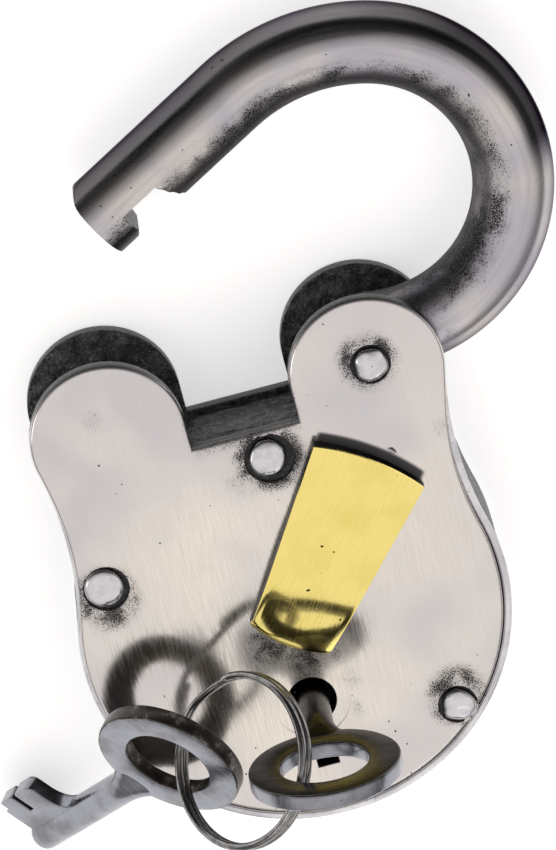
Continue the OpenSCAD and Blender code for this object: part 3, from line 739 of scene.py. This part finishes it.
class PADLOCK_OT_plates(bpy.types.Operator):
    """Makes the two side plates with their rounded edges, pockets and keyhole"""
    bl_idname = "padlock.plates"
    bl_label = "Side plates"

    edge = 0.3 * MM
    hole, slot, slot_reach = 4.9 * MM, 4.2 * MM, 14 * MM
    dish, dish_depth = 7.5 * MM, 0.3 * MM

    def execute(self, context):
        case = context.scene.padlock_case
        outline = plate_loop(case)
        key_p = middle("key_seat").to_2d()
        loops = [(outline, case.round_over, self.edge, 0)]
        for node, (dx, dy, radius) in RIVET_GAPS.items():
            centre = middle(node) + Vector((dx, dy, 0))
            loops.append((circle_loop(centre, radius, 48), self.edge, 0, GAP_DEPTH))
        keyhole = keyhole_loop(key_p, self.hole, self.slot, self.slot_reach)
        loops.append((keyhole, self.edge, 0.2 * MM, 0))
        bm = bmesh.new()
        sheet_metal(bm, loops, FRONT_Z - case.plate, FRONT_Z)
        self.add_burr(bm)
        makers = (polished_sheet, black_scale, rough_casting)
        front = add_piece("front_sheet", bm, makers, "case", "front_plate")
        rim = circle_loop(key_p, self.dish, 64, way=1)
        dish = bmesh.new()
        closed_skin(dish, [[(*p, z) for p in rim]
                           for z in (FRONT_Z - self.dish_depth, FRONT_Z + 2 * MM)])
        self.cut(front, dish)
        bm = bmesh.new()
        loops = [(outline, self.edge, 0.5 * MM, 0)]
        sheet_metal(bm, loops, BACK_LOW.z, BACK_HIGH.z, tones=(2, 1, 0))
        add_piece("back_sheet", bm, makers, "case", "back_plate")
        return {"FINISHED"}

    def add_burr(self, bm):
        """Raised burr beside the cover's free end: a short curl that comes to a point."""
        foot = Vector((25.6 * MM, 29.8 * MM, 0))
        along = Vector((0.72, -0.69, 0))
        rise = FRONT_HIGH.z - FRONT_Z
        rows = []
        for t in spread(0, 1, 6):
            width = 0.85 * MM * (1 - t) ** 0.7 + 0.05 * MM
            lift = rise * t ** 0.8 + (t - 1) * 0.3 * MM
            centre = foot + along * (1.9 * MM * t)
            rows.append([centre + Vector((width * math.cos(a), 0.55 * width * math.sin(a),
                                          FRONT_Z + lift)) for a in around(10)])
        closed_skin(bm, rows)

    def cut(self, piece, bm):
        """Cuts a closed shape out of a piece."""
        mesh = bpy.data.meshes.new("cutter")
        bmesh.ops.recalc_face_normals(bm, faces=bm.faces)
        bm.to_mesh(mesh)
        bm.free()
        cutter = bpy.data.objects.new("cutter", mesh)
        bpy.context.scene.collection.objects.link(cutter)
        modifier = piece.modifiers.new("cut", "BOOLEAN")
        modifier.object = cutter
        modifier.operation = "DIFFERENCE"
        modifier.solver = "EXACT"
        bpy.context.view_layer.update()
        done = piece.evaluated_get(bpy.context.evaluated_depsgraph_get())
        result = bpy.data.meshes.new_from_object(done)
        result.set_sharp_from_angle(angle=SMOOTH_BELOW)
        piece.modifiers.clear()
        piece.data = result
        bpy.data.objects.remove(cutter)


class PADLOCK_OT_casting(bpy.types.Operator):
    """Makes the cast wall with its bright lip, and the block in the notch"""
    bl_idname = "padlock.casting"
    bl_label = "Black casting"

    nose_sweep = 64.6 * MM     # clear round the shackle's pin, for its nose
    edge = 0.5 * MM

    def execute(self, context):
        self.add_wall(context.scene.padlock_case)
        self.add_block()
        return {"FINISHED"}

    def section(self, deep, rim, case, low, high):
        """The wall's section as (distance inside the outline, height) points."""
        inner_low, inner_high = case.plate, FRONT_Z - case.plate
        edge, corner, lip = self.edge, 0.15 * MM, 0.3 * MM
        points = [(deep, inner_high), (deep, inner_low), (rim, inner_low), (rim, low + lip),
                  (rim - lip, low), (edge, low), (corner, low + corner)]
        points += [(0, z) for z in spread(low + edge, high - edge, 15)]
        return points + [(corner, high - corner), (edge, high), (rim - lip, high),
                         (rim, high - lip), (rim, inner_high)]

    def add_wall(self, case):
        low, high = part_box("case_wall")
        loop = case_loop(case)
        out = mitres(loop)
        hinge = middle("shackle_pin").to_2d()
        start = next(i for i, p in enumerate(loop) if p.y > high.y - 1e-6)
        keep = [i for i, p in enumerate(loop) if p.y < high.y and
                (abs(p.x) > case.lobe_out or p.y < 0)]
        keep = [i for i in keep if i > start] + [i for i in keep if i < start]
        side = self.edge + 0.1 * MM
        rows = []
        for point, direction in ((loop[i], out[i]) for i in keep):
            deep = case.wall
            if point.x < 0 and point.y > 25 * MM:
                reach = (point - hinge).length - self.nose_sweep
                deep = max(1.0 * MM, min(deep, reach))
            row = []
            for inset, z in self.section(deep, min(case.rim, deep), case, low.z, high.z):
                p = point - direction * inset
                if low.z + side < z < high.z - side and inset < 0.1 * MM:
                    place = Vector((p.x, p.y, z))
                    rough = noise.noise(place * 260) * 0.5 + noise.noise(place * 700) * 0.3
                    p = p - direction * max(0, 0.3 + rough) * 0.35 * MM
                row.append((p.x, p.y, z))
            rows.append(row)
        bm = bmesh.new()
        closed_skin(bm, rows)
        for face in bm.faces:
            z = face.calc_center_median().z
            if z > high.z - 0.45 * MM or z < low.z + 0.45 * MM:
                face.material_index = 1
        add_piece("cast_band", bm, (rough_casting, ground_lip), "case", "case_wall")

    def add_block(self):
        low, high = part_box("notch_block")
        bottom = high.y - 3.2 * MM
        bm = bmesh.new()
        rows = []
        for x in spread(low.x, high.x, 30):
            row = [(x, bottom, low.z)]
            for z in spread(low.z, high.z, 24):
                ridge = 0.35 * MM * math.exp(-((z - 17.2 * MM) / (1.1 * MM)) ** 2)
                groove = 0.55 * MM * math.exp(-((z - 8.0 * MM) / (1.6 * MM)) ** 2)
                rough = noise.noise(Vector((x * 160, 3.1, z * 420))) * 0.4 * MM
                row.append((x, min(high.y, high.y - 0.45 * MM + ridge - groove + rough), z))
            row.append((x, bottom, high.z))
            rows.append(row)
        closed_skin(bm, rows)
        boss = circle_loop(middle("top_rivet"), 5.2 * MM, 40, way=1)
        closed_skin(bm, [[(p.x, min(p.y, bottom + 1 * MM), z) for p in boss]
                         for z in (low.z, high.z)])
        add_piece("notch_casting", bm, (rough_casting,), "case", "notch_block")


class PADLOCK_OT_rivets(bpy.types.Operator):
    """Makes the four hammered heads and their shanks"""
    bl_idname = "padlock.rivets"
    bl_label = "Rivets"

    # node, head radius, how uneven its rim is, how flat its top is, lean of its top, seed
    heads = (
        ("left_rivet", 3.85 * MM, 0.02, 0.75, (0.05, 0.12), 3),
        ("top_rivet", 3.7 * MM, 0.04, 0.35, (-0.2, 0.1), 11),
        ("lower_rivet", 3.3 * MM, 0.12, 0.25, (0.1, 0.3), 23),
        ("shackle_pin", 3.4 * MM, 0.10, 0.3, (0.3, 0.25), 37),
    )
    shank = 2.6 * MM

    def execute(self, context):
        for node, radius, uneven, flat, lean, seed in self.heads:
            self.add_head(node, radius, uneven, flat, Vector(lean), seed)
        return {"FINISHED"}

    def add_head(self, node, radius, uneven, flat, lean, seed):
        low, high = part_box(node)
        centre = middle(node)
        floor = FRONT_Z - GAP_DEPTH
        rim = FRONT_Z - 0.25 * MM
        foot = floor + 0.05 * MM
        profile = [(0, low.z), (self.shank, low.z), (self.shank, foot), (radius, foot),
                   (radius, rim)]
        rise = high.z - rim
        for t in spread(0, 1, 12)[1:]:
            share = math.cos(t * math.pi / 2)
            lift = math.sin(t * math.pi / 2) ** (0.8 - 0.35 * flat)
            profile.append((radius * share ** (0.9 - 0.45 * flat), rim + rise * lift))
        profile[-1] = (0.02 * MM, profile[-1][1])
        offset = Vector((0, 0, seed * 1.7))

        def dent(point, angle):
            if point.z < floor:
                return point
            edge = noise.noise(Vector((math.cos(angle), math.sin(angle), 0)) * 1.3 + offset)
            wave = noise.noise(Vector((point.x, point.y, 0)) * 420 + offset)
            share = min(1.12, 1 + uneven * (edge * 1.6 + 0.3 * math.sin(2 * angle + seed)))
            top = max(0, (point.z - FRONT_Z) / rise)
            drop = (0.4 + uneven * 3) * 0.45 * MM * abs(wave) * top
            return Vector((point.x * share + lean.x * 1.3 * MM * top,
                           point.y * share + lean.y * 1.3 * MM * top,
                           min(point.z - drop, high.z)))

        bm = bmesh.new()
        rows = turned(profile, 56, "Z", Vector((centre.x, centre.y, 0)), dent)
        cap(bm, loft(bm, rows)[-1])
        add_piece(node + "_head", bm, (hammered_head,), "case", node)


# ---- shackle

class PADLOCK_OT_shackle(bpy.types.Operator):
    """Makes the bent bar with its notched nose, in the open pose"""
    bl_idname = "padlock.shackle"
    bl_label = "Shackle"

    heel_angle, shoulder_angle, open_angle = 42.2, 136.0, 61.0
    heel_leans = (80, 65, 50, 35, 20, 8)      # degrees round the heel's rounded end
    crown_steps, shoulder_steps, leg_steps = 120, 36, 44
    lip_slope, notch_slope, corner = 1.5 * MM, 2.6 * MM, 3 * MM

    def path(self, sizes, hinge):
        """Middle line from the heel to the nose in the closed pose: points and the inward
        direction at each."""
        heel = math.radians(self.heel_angle)
        bend = math.radians(self.shoulder_angle)
        crown = hinge - Vector((math.cos(heel), -math.sin(heel))) * (sizes.crown
                                                                    + sizes.pin_inset)
        wide = (crown.x + sizes.leg_out + sizes.crown * math.cos(bend)) / (1 + math.cos(bend))
        shoulder = crown - Vector((math.cos(bend), math.sin(bend))) * (wide - sizes.crown)
        steps = []
        for centre, radius, start, end, count in (
                (crown, sizes.crown, -self.heel_angle, self.shoulder_angle, self.crown_steps),
                (shoulder, wide, self.shoulder_angle, 180, self.shoulder_steps)):
            for a in map(math.radians, spread(start, end, count)[:-1]):
                out = Vector((math.cos(a), math.sin(a)))
                steps.append((centre + out * radius, -out))
        top = shoulder.y
        lip = sizes.nose + sizes.lip
        stops = {top, sizes.nose + 0.001 * MM, *spread(top, sizes.nose, self.leg_steps)}
        for edge in (lip, lip - self.lip_slope, lip + sizes.notch_h,
                     lip + sizes.notch_h + self.notch_slope):
            stops |= {edge - 0.03 * MM, edge + 0.03 * MM}
        stops |= {sizes.nose + self.corner * (1 - math.cos(k * math.pi / 16)) for k in range(9)}
        return steps + [(Vector((-sizes.leg_out, y)), Vector((1, 0)))
                        for y in sorted(stops, reverse=True)]

    def limits(self, sizes, y):
        """How far the bar reaches inward and outward at a height of the leg."""
        lip = sizes.nose + sizes.lip
        over = lip + sizes.notch_h
        floor = sizes.bar - sizes.notch_d
        inward = sizes.bar
        if lip - self.lip_slope < y < lip:
            share = (y - lip + self.lip_slope) / self.lip_slope
            inward = sizes.bar - (sizes.bar - floor - 4.6 * MM) * share
        elif lip <= y <= over:
            inward = floor
        elif over < y < over + self.notch_slope:
            inward = floor + (sizes.bar - floor) * (y - over) / self.notch_slope
        return inward, sizes.bar - fall(self.corner, y - sizes.nose)

    def execute(self, context):
        sizes = context.scene.padlock_shackle
        hinge = middle("shackle_pin").to_2d()
        path = self.path(sizes, hinge)
        mid_z = middle("shackle").z
        floor = sizes.bar - sizes.notch_d
        side = math.acos(floor / sizes.bar)
        angles = [side * k / 20 for k in range(-20, 21)]
        angles += spread(side, 2 * math.pi - side, 40)[1:-1]
        heel_half = sizes.bar - 0.6 * MM
        heel_round = sizes.bar - 0.3 * MM
        heel_rows = len(self.heel_leans)
        leg_from = heel_rows + self.crown_steps + self.shoulder_steps
        entries = [(*path[0], a) for a in self.heel_leans] + [(*step, 0) for step in path]
        turn = Matrix.Rotation(-math.radians(self.open_angle), 2)
        rows, layers, run, last = [], [], 0.0, None
        for index, (point, inward, lean) in enumerate(entries):
            width = sizes.bar
            if lean:
                width = heel_round * math.cos(math.radians(lean))
                along = Vector((-inward.y, inward.x))
                point = point + along * heel_round * math.sin(math.radians(lean))
            run += (point - last).length if last is not None else 0
            last = point
            in_max, out_max = sizes.bar, sizes.bar
            if index >= leg_from:
                in_max, out_max = self.limits(sizes, point.y)
            row = []
            for angle in angles:
                reach = max(-out_max, min(in_max, math.cos(angle) * width))
                z = math.sin(angle) * sizes.bar
                if index < heel_rows + 12:
                    z = max(-heel_half, min(heel_half, z))
                open_point = hinge + turn @ (point + inward * reach - hinge)
                row.append((*open_point, mid_z + z))
                layers.append(((run, angle * sizes.bar, 0), 0.5 + 0.5 * math.cos(angle)))
            rows.append(row)
        bm = bmesh.new()
        grain_layer = bm.verts.layers.float_vector.new("grain")
        inside_layer = bm.verts.layers.float.new("inside")
        grid = closed_skin(bm, rows, 1, 1)
        for vertex, (grain, inside) in zip((v for row in grid for v in row), layers):
            vertex[grain_layer] = grain
            vertex[inside_layer] = inside
        lip = sizes.nose + sizes.lip
        back = Matrix.Rotation(math.radians(self.open_angle), 2)
        for face in bm.faces:
            closed = hinge + back @ (face.calc_center_median().to_2d() - hinge)
            depth = closed.x + sizes.leg_out
            in_notch = lip - 0.2 * MM < closed.y < lip + sizes.notch_h + 0.1 * MM
            on_lip = closed.y <= lip and depth > 4.4 * MM
            if closed.x < 0 and (on_lip or in_notch and depth > floor - 0.1 * MM):
                face.material_index = 1
        makers = (polished_bar, black_scale)
        add_piece("shackle_bar", bm, makers, "shackle", "shackle")
        return {"FINISHED"}


# ---- cover

class PADLOCK_OT_cover(bpy.types.Operator):
    """Makes the brass cover with its rolled narrow end"""
    bl_idname = "padlock.cover"
    bl_label = "Brass cover"

    roll, edge = 1.1 * MM, 0.3 * MM
    slope, slope_drop = 13 * MM, 1.35 * MM    # the narrow end thins down over this length

    def execute(self, context):
        sizes = context.scene.padlock_cover
        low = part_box("brass_cover")[0]
        turn = math.radians(COVER_SWING)
        end = middle("cover_stud").to_2d() - Vector((math.cos(turn),
                                                     math.sin(turn))) * COVER_INSET
        place = (Matrix.Translation((end.x, end.y, low.z))
                 @ Matrix.Rotation(turn, 4, "Z"))
        edge = self.edge
        along = [0.028 * (1 - math.cos(math.pi / 2 * k / 6)) for k in range(6)]
        along += spread(0.028, 0.33, 24) + spread(0.33, 0.985, 20)[1:]
        along += [0.990, 0.9925, 0.996, 1.0]
        drops = [edge, edge * 0.12, 0.0]
        rows = []
        for t in along:
            half = (sizes.narrow + (sizes.wide - sizes.narrow) * t) / 2
            rim = [half - edge * s / 0.3 for s in (0.0, 0.1, 0.3)]
            across = rim + spread(half - edge, edge - half, 16)[1:-1]
            across += [-v for v in rim[::-1]]
            from_end = t * sizes.long
            fallen = (self.slope_drop * max(0, 1 - from_end / self.slope) ** 2
                      + fall(self.roll, from_end) + fall(edge, (1 - t) * sizes.long))
            row = []
            for v, drop in zip(across, drops + [0.0] * 15 + drops[::-1]):
                bow = sizes.crown * (1 - (v / half) ** 2)
                z = sizes.thick - drop - fallen
                row.append((from_end + bow * (2 * t - 1), v, max(z, 0.25 * MM)))
            rows.append(row + [(x, y, 0.0) for x, y, z in row[::-1]])
        bm = bmesh.new()
        closed_skin(bm, rows, 0, 1)
        bm.normal_update()
        for face in bm.faces:
            at_side = abs(face.normal.z) < 0.3
            if at_side and face.calc_center_median().x > 0.02 * sizes.long:
                face.material_index = 1
        makers = (yellow_brass, black_scale)
        add_piece("cover_leaf", bm, makers, "cover", "brass_cover", place)
        return {"FINISHED"}


# ---- keys and ring

KEY_1_TURN = (0.0, 0.0, -5.1)
KEY_2_PLACE = (-29.55 * MM, -14.75 * MM, 39.55 * MM)
KEY_2_TURN = (-47.6, -1.0, -51.9)
RING_PLACE = (-16.05 * MM, -15.3 * MM, 48.06 * MM)
RING_TURN = (0.0, 52.5, 143.2)


def placed(point, degrees):
    """Matrix of a piece at a point, turned about X, then Y, then Z."""
    turn = Euler([math.radians(value) for value in degrees], "XYZ").to_matrix().to_4x4()
    return Matrix.Translation(point) @ turn


class PADLOCK_OT_keys(bpy.types.Operator):
    """Makes both keys: round bow, stem that spreads into it, and stepped bit"""
    bl_idname = "padlock.keys"
    bl_label = "Keys"

    def execute(self, context):
        sizes = context.scene.padlock_keys
        seat = middle("key_seat")
        places = {"key_1": placed((seat.x, seat.y, middle("key_1_bow").z), KEY_1_TURN),
                  "key_2": placed(KEY_2_PLACE, KEY_2_TURN)}
        for key, place in places.items():
            self.add_bow(key, sizes, place)
            self.add_stem(key, sizes, place)
        return {"FINISHED"}

    def add_bow(self, key, sizes, place):
        half = sizes.bow_t / 2
        profile = []
        for r, h, start, edge in ((sizes.bow, half, 0, 0.35 * MM),
                                  (sizes.bow_hole, half, 90, 0.5 * MM),
                                  (sizes.bow_hole, -half, 180, 0.5 * MM),
                                  (sizes.bow, -half, 270, 0.35 * MM)):
            r += edge * (-1 if r == sizes.bow else 1)
            h -= math.copysign(edge, h)
            profile += [(r + edge * math.cos(a), h + edge * math.sin(a))
                        for a in map(math.radians, spread(start, start + 90, 3))]
        offset = Vector((5.0 if key == "key_1" else 9.0, 0, 0))

        def worn(point, angle):
            shift = noise.noise(point * 190 + offset) * 0.12 * MM
            return point * (1 - abs(shift) / sizes.bow)

        bm = bmesh.new()
        loft(bm, turned(profile, 112, "Y", Vector(), worn), ring=True)
        for face in bm.faces:
            centre = face.calc_center_median()
            out = Vector((centre.x, centre.z)).length
            sides = out > sizes.bow - 0.3 * MM or out < sizes.bow_hole + 0.3 * MM
            # the second key's rims take the painted shade finish, which darkens their reflection
            # in the plate
            if key == "key_2" and sides:
                face.material_index = 1
        makers = (filed_key, shaded_key_rim)
        add_piece(key + "_ring_bow", bm, makers, key, key + "_bow", place)

    def add_stem(self, key, sizes, place):
        bm = bmesh.new()
        tip = -sizes.stem_l
        spread_from = -sizes.bow - 6.5 * MM
        spread_to = -sizes.bow + 2.2 * MM
        heights = [tip + up * MM for up in (0, 0.1, 0.35, 0.8)]
        heights += spread(tip + 1.6 * MM, spread_from, 20)
        heights += spread(spread_from, spread_to, 16)[1:]
        rows = []
        for z in heights:
            up = max(0, (z - spread_from) / (spread_to - spread_from))
            less = fall(1.2 * MM, z - tip)
            wide = sizes.stem + 3.6 * MM * up ** 2.6 - less
            thin = sizes.stem + (sizes.bow_t / 2 + 0.1 * MM - sizes.stem) * up ** 1.8 - less
            row = []
            for c, s in ((math.cos(a), math.sin(a)) for a in around(48)):
                rough = 1 + 0.03 * up * noise.noise(Vector((c * 2, s * 2, z * 500)))
                row.append((wide * rough * c, thin * rough * s, z))
            rows.append(row)
        closed_skin(bm, rows)
        self.add_bit(bm, sizes, tip)
        add_piece(key + "_shaft", bm, (filed_key,), key, key + "_stem", place)

    def add_bit(self, bm, sizes, tip):
        """Flat bit with a stepped end, one slot and a hollow curve up to the stem."""
        half = 1.6 * MM
        base = tip + 1.8 * MM
        top = base + 13.5 * MM
        slot = tip + 7.8 * MM
        reach = sizes.bit
        hollow = Vector((-sizes.stem - 4.2 * MM, top + 3.6 * MM))
        outline = [Vector((0, base)), Vector((0, top + 3.4 * MM))]
        outline += [hollow + Vector((4.4 * MM * math.cos(a), 3.6 * MM * math.sin(a)))
                    for a in map(math.radians, spread(-5, -90, 8))]
        outline += arc((1.6 * MM - reach, top - 1.6 * MM), 1.6 * MM, 90, 180, 6)
        # millimetres: in from the bit's end, up from the slot or the base
        for start, corners in ((slot, ((0, 1.8), (0.3, 1.5), (5, 1.5), (5, 0), (0.3, 0),
                                       (0, -0.3))),
                               (base, ((0, 1.8), (0.3, 1.4), (2.0, 1.4), (2.2, 1.2),
                                       (2.3, 0.2), (2.6, 0)))):
            outline += [Vector((x * MM - reach, start + y * MM)) for x, y in corners]
        flat = bmesh.new()
        sheet_metal(flat, [(outline, 0.25 * MM, 0.25 * MM, 0)], -half, half, tones=(0, 0, 0))
        flat.transform(Matrix(((1, 0, 0, 0), (0, 0, -1, 0), (0, 1, 0, 0), (0, 0, 0, 1))))
        mesh = bpy.data.meshes.new("bit")
        flat.to_mesh(mesh)
        flat.free()
        bm.from_mesh(mesh)
        bpy.data.meshes.remove(mesh)


class PADLOCK_OT_ring(bpy.types.Operator):
    """Winds the split ring: two turns of wire with a step and two free ends"""
    bl_idname = "padlock.ring"
    bl_label = "Split ring"

    side = 0.72 * MM                          # each turn's middle from the ring's
    ends = (0.08, 4 * math.pi - 0.72)
    step = (2 * math.pi - 0.62, 2 * math.pi - 0.08)
    count = 300

    def execute(self, context):
        sizes = context.scene.padlock_keys
        step_from, step_to = self.step

        def squared(value):
            return math.copysign(abs(value) ** 0.8, value)

        rows = []
        for k, t in enumerate(spread(*self.ends, self.count)):
            z = self.side * (2 * ease((t - step_from) / (step_to - step_from)) - 1)
            out = Vector((math.cos(t), math.sin(t), 0))
            r = sizes.wire * min(1, 0.55 + k / 4, 0.55 + (self.count - k) / 4)
            rows.append([out * (sizes.ring + squared(math.cos(a)) * r * 0.96)
                         + Vector((0, 0, z + squared(math.sin(a)) * r * 0.88))
                         for a in around(16)])
        bm = bmesh.new()
        closed_skin(bm, rows)
        place = placed(RING_PLACE, RING_TURN)
        add_piece("wound_ring", bm, (drawn_wire,), "ring", "split_ring", place)
        return {"FINISHED"}


class PADLOCK_OT_lockwork(bpy.types.Operator):
    """Finishes the pieces inside the case"""
    bl_idname = "padlock.lockwork"
    bl_label = "Lockwork"

    special = {"cover_stud": yellow_brass, "pawl_spring": blued_strip}

    def execute(self, context):
        for name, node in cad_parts.items():
            if not node.hide_render:
                node.data.materials.clear()
                node.data.materials.append(finish_of(self.special.get(name, turned_steel)))
        return {"FINISHED"}


# ---- stage

class PADLOCK_OT_stage(bpy.types.Operator):
    """Sets the pale floor, the soft lights and the camera"""
    bl_idname = "padlock.stage"
    bl_label = "Stage"

    aim = Vector((6.49 * MM, 40.0 * MM, 25.0 * MM))
    back = Vector((0.0174, 0.3404, 0.9401))
    distance = 855 * MM
    roll = 15.01
    lens = 190.6
    floor_size = 6.0
    floor_glow = 0.55
    sky_strength = 1.05
    # brightness of the sky at heights of the direction's Y and Z
    along = ((-1.0, 1.0), (-0.05, 1.0), (0.35, 0.6), (0.62, 0.12), (1.0, 0.03))
    upward = ((-0.3, 0.1), (0.05, 0.1), (0.25, 0.35), (0.55, 0.85), (0.85, 1.0))
    # name, place, size, power
    lamps = (("left_softbox", (-0.8, 0.1, 0.5), 0.35, 0.6),
             ("low_softbox", (0.1, -0.9, 0.6), 0.5, 0.4))

    def execute(self, context):
        self.add_floor()
        self.add_lights(context)
        self.add_camera(context)
        return {"FINISHED"}

    def add_floor(self):
        finish = Finish("pale_floor", (0.92, 0.92, 0.92), 0.75, 0.0)
        finish.stain(finish.noise(3.0, 2.0), (0.95, 0.95, 0.95))
        finish.paint()
        finish.skin.inputs["Emission Color"].default_value = (1, 1, 1, 1)
        finish.skin.inputs["Emission Strength"].default_value = self.floor_glow
        bm = bmesh.new()
        bmesh.ops.create_grid(bm, x_segments=8, y_segments=8, size=self.floor_size)
        mesh = bpy.data.meshes.new("floor")
        bm.to_mesh(mesh)
        bm.free()
        mesh.materials.append(finish.material)
        floor = bpy.data.objects.new("floor", mesh)
        floor.location.z = CAD_BOX[0][2] - 0.05 * MM
        bpy.context.scene.collection.objects.link(floor)

    def add_lights(self, context):
        world = bpy.data.worlds.new("studio")
        world.use_nodes = True
        context.scene.world = world
        tree = world.node_tree
        tree.nodes.clear()
        ray = tree.nodes.new("ShaderNodeTexCoord")
        split = tree.nodes.new("ShaderNodeSeparateXYZ")
        tree.links.new(ray.outputs["Generated"], split.inputs[0])
        glow = None
        for axis, shades in (("Y", self.along), ("Z", self.upward)):
            ramp = tree.nodes.new("ShaderNodeMapRange")
            ramp.inputs["From Min"].default_value = -1
            tree.links.new(split.outputs[axis], ramp.inputs["Value"])
            band = tree.nodes.new("ShaderNodeValToRGB")
            tree.links.new(ramp.outputs[0], band.inputs["Fac"])
            band.color_ramp.interpolation = "EASE"
            while len(band.color_ramp.elements) < len(shades):
                band.color_ramp.elements.new(0.5)
            for element, (at, value) in zip(band.color_ramp.elements, shades):
                element.position = (at + 1) / 2
                element.color = (value, value * 0.985, value * 0.975, 1)
            if glow is not None:
                both = tree.nodes.new("ShaderNodeMix")
                both.data_type = "RGBA"
                both.blend_type = "MULTIPLY"
                both.inputs["Factor"].default_value = 1
                tree.links.new(glow, both.inputs[6])
                tree.links.new(band.outputs["Color"], both.inputs[7])
                glow = both.outputs[2]
            else:
                glow = band.outputs["Color"]
        sky = tree.nodes.new("ShaderNodeBackground")
        sky.inputs["Strength"].default_value = self.sky_strength
        tree.links.new(glow, sky.inputs["Color"])
        out = tree.nodes.new("ShaderNodeOutputWorld")
        tree.links.new(sky.outputs[0], out.inputs["Surface"])
        for name, place, size, power in self.lamps:
            lamp = bpy.data.lights.new(name, "AREA")
            lamp.shape = "SQUARE"
            lamp.size = size
            lamp.energy = power
            light = bpy.data.objects.new(name, lamp)
            light.location = place
            light.rotation_euler = (Vector(place) - self.aim).to_track_quat("Z", "Y").to_euler()
            context.scene.collection.objects.link(light)

    def add_camera(self, context):
        lens = bpy.data.cameras.new("camera")
        lens.lens = self.lens
        lens.sensor_width = 36
        lens.clip_start = 0.05
        camera = bpy.data.objects.new("camera", lens)
        back = self.back.normalized()
        right = Vector((0, 1, 0)).cross(back).normalized()
        up = back.cross(right)
        c, s = math.cos(math.radians(self.roll)), math.sin(math.radians(self.roll))
        image_right = right * c - up * s
        image_up = right * s + up * c
        turn = Matrix((image_right, image_up, back)).transposed().to_4x4()
        camera.matrix_world = Matrix.Translation(self.aim + back * self.distance) @ turn
        context.scene.collection.objects.link(camera)
        context.scene.camera = camera
        context.scene.view_settings.view_transform = "Standard"


class PADLOCK_PT_panel(bpy.types.Panel):
    """Lists the padlock's steps"""
    bl_idname = "PADLOCK_PT_panel"
    bl_label = "Riveted Padlock"
    bl_space_type = "VIEW_3D"
    bl_region_type = "UI"
    bl_category = "Padlock"

    def draw(self, context):
        for step in STEPS:
            self.layout.operator(step.bl_idname)


STEPS = (PADLOCK_OT_plates, PADLOCK_OT_casting, PADLOCK_OT_rivets, PADLOCK_OT_shackle,
         PADLOCK_OT_cover, PADLOCK_OT_keys, PADLOCK_OT_ring, PADLOCK_OT_lockwork,
         PADLOCK_OT_stage)
GROUPS = {"padlock_case": CaseSizes, "padlock_shackle": ShackleSizes, "padlock_keys": KeySizes,
          "padlock_cover": CoverSizes, "padlock_colours": FinishColours}


def register():
    for kind in (*GROUPS.values(), *STEPS, PADLOCK_PT_panel):
        bpy.utils.register_class(kind)
    for name, kind in GROUPS.items():
        setattr(bpy.types.Scene, name, bpy.props.PointerProperty(type=kind))


def unregister():
    for name in GROUPS:
        delattr(bpy.types.Scene, name)
    for kind in (PADLOCK_PT_panel, *reversed(STEPS), *GROUPS.values()):
        bpy.utils.unregister_class(kind)


def main():
    """Builds everything."""
    register()
    for step in STEPS:
        group, action = step.bl_idname.split(".")
        getattr(getattr(bpy.ops, group), action)()
    bpy.context.view_layer.update()


if __name__ == "__main__":
    main()
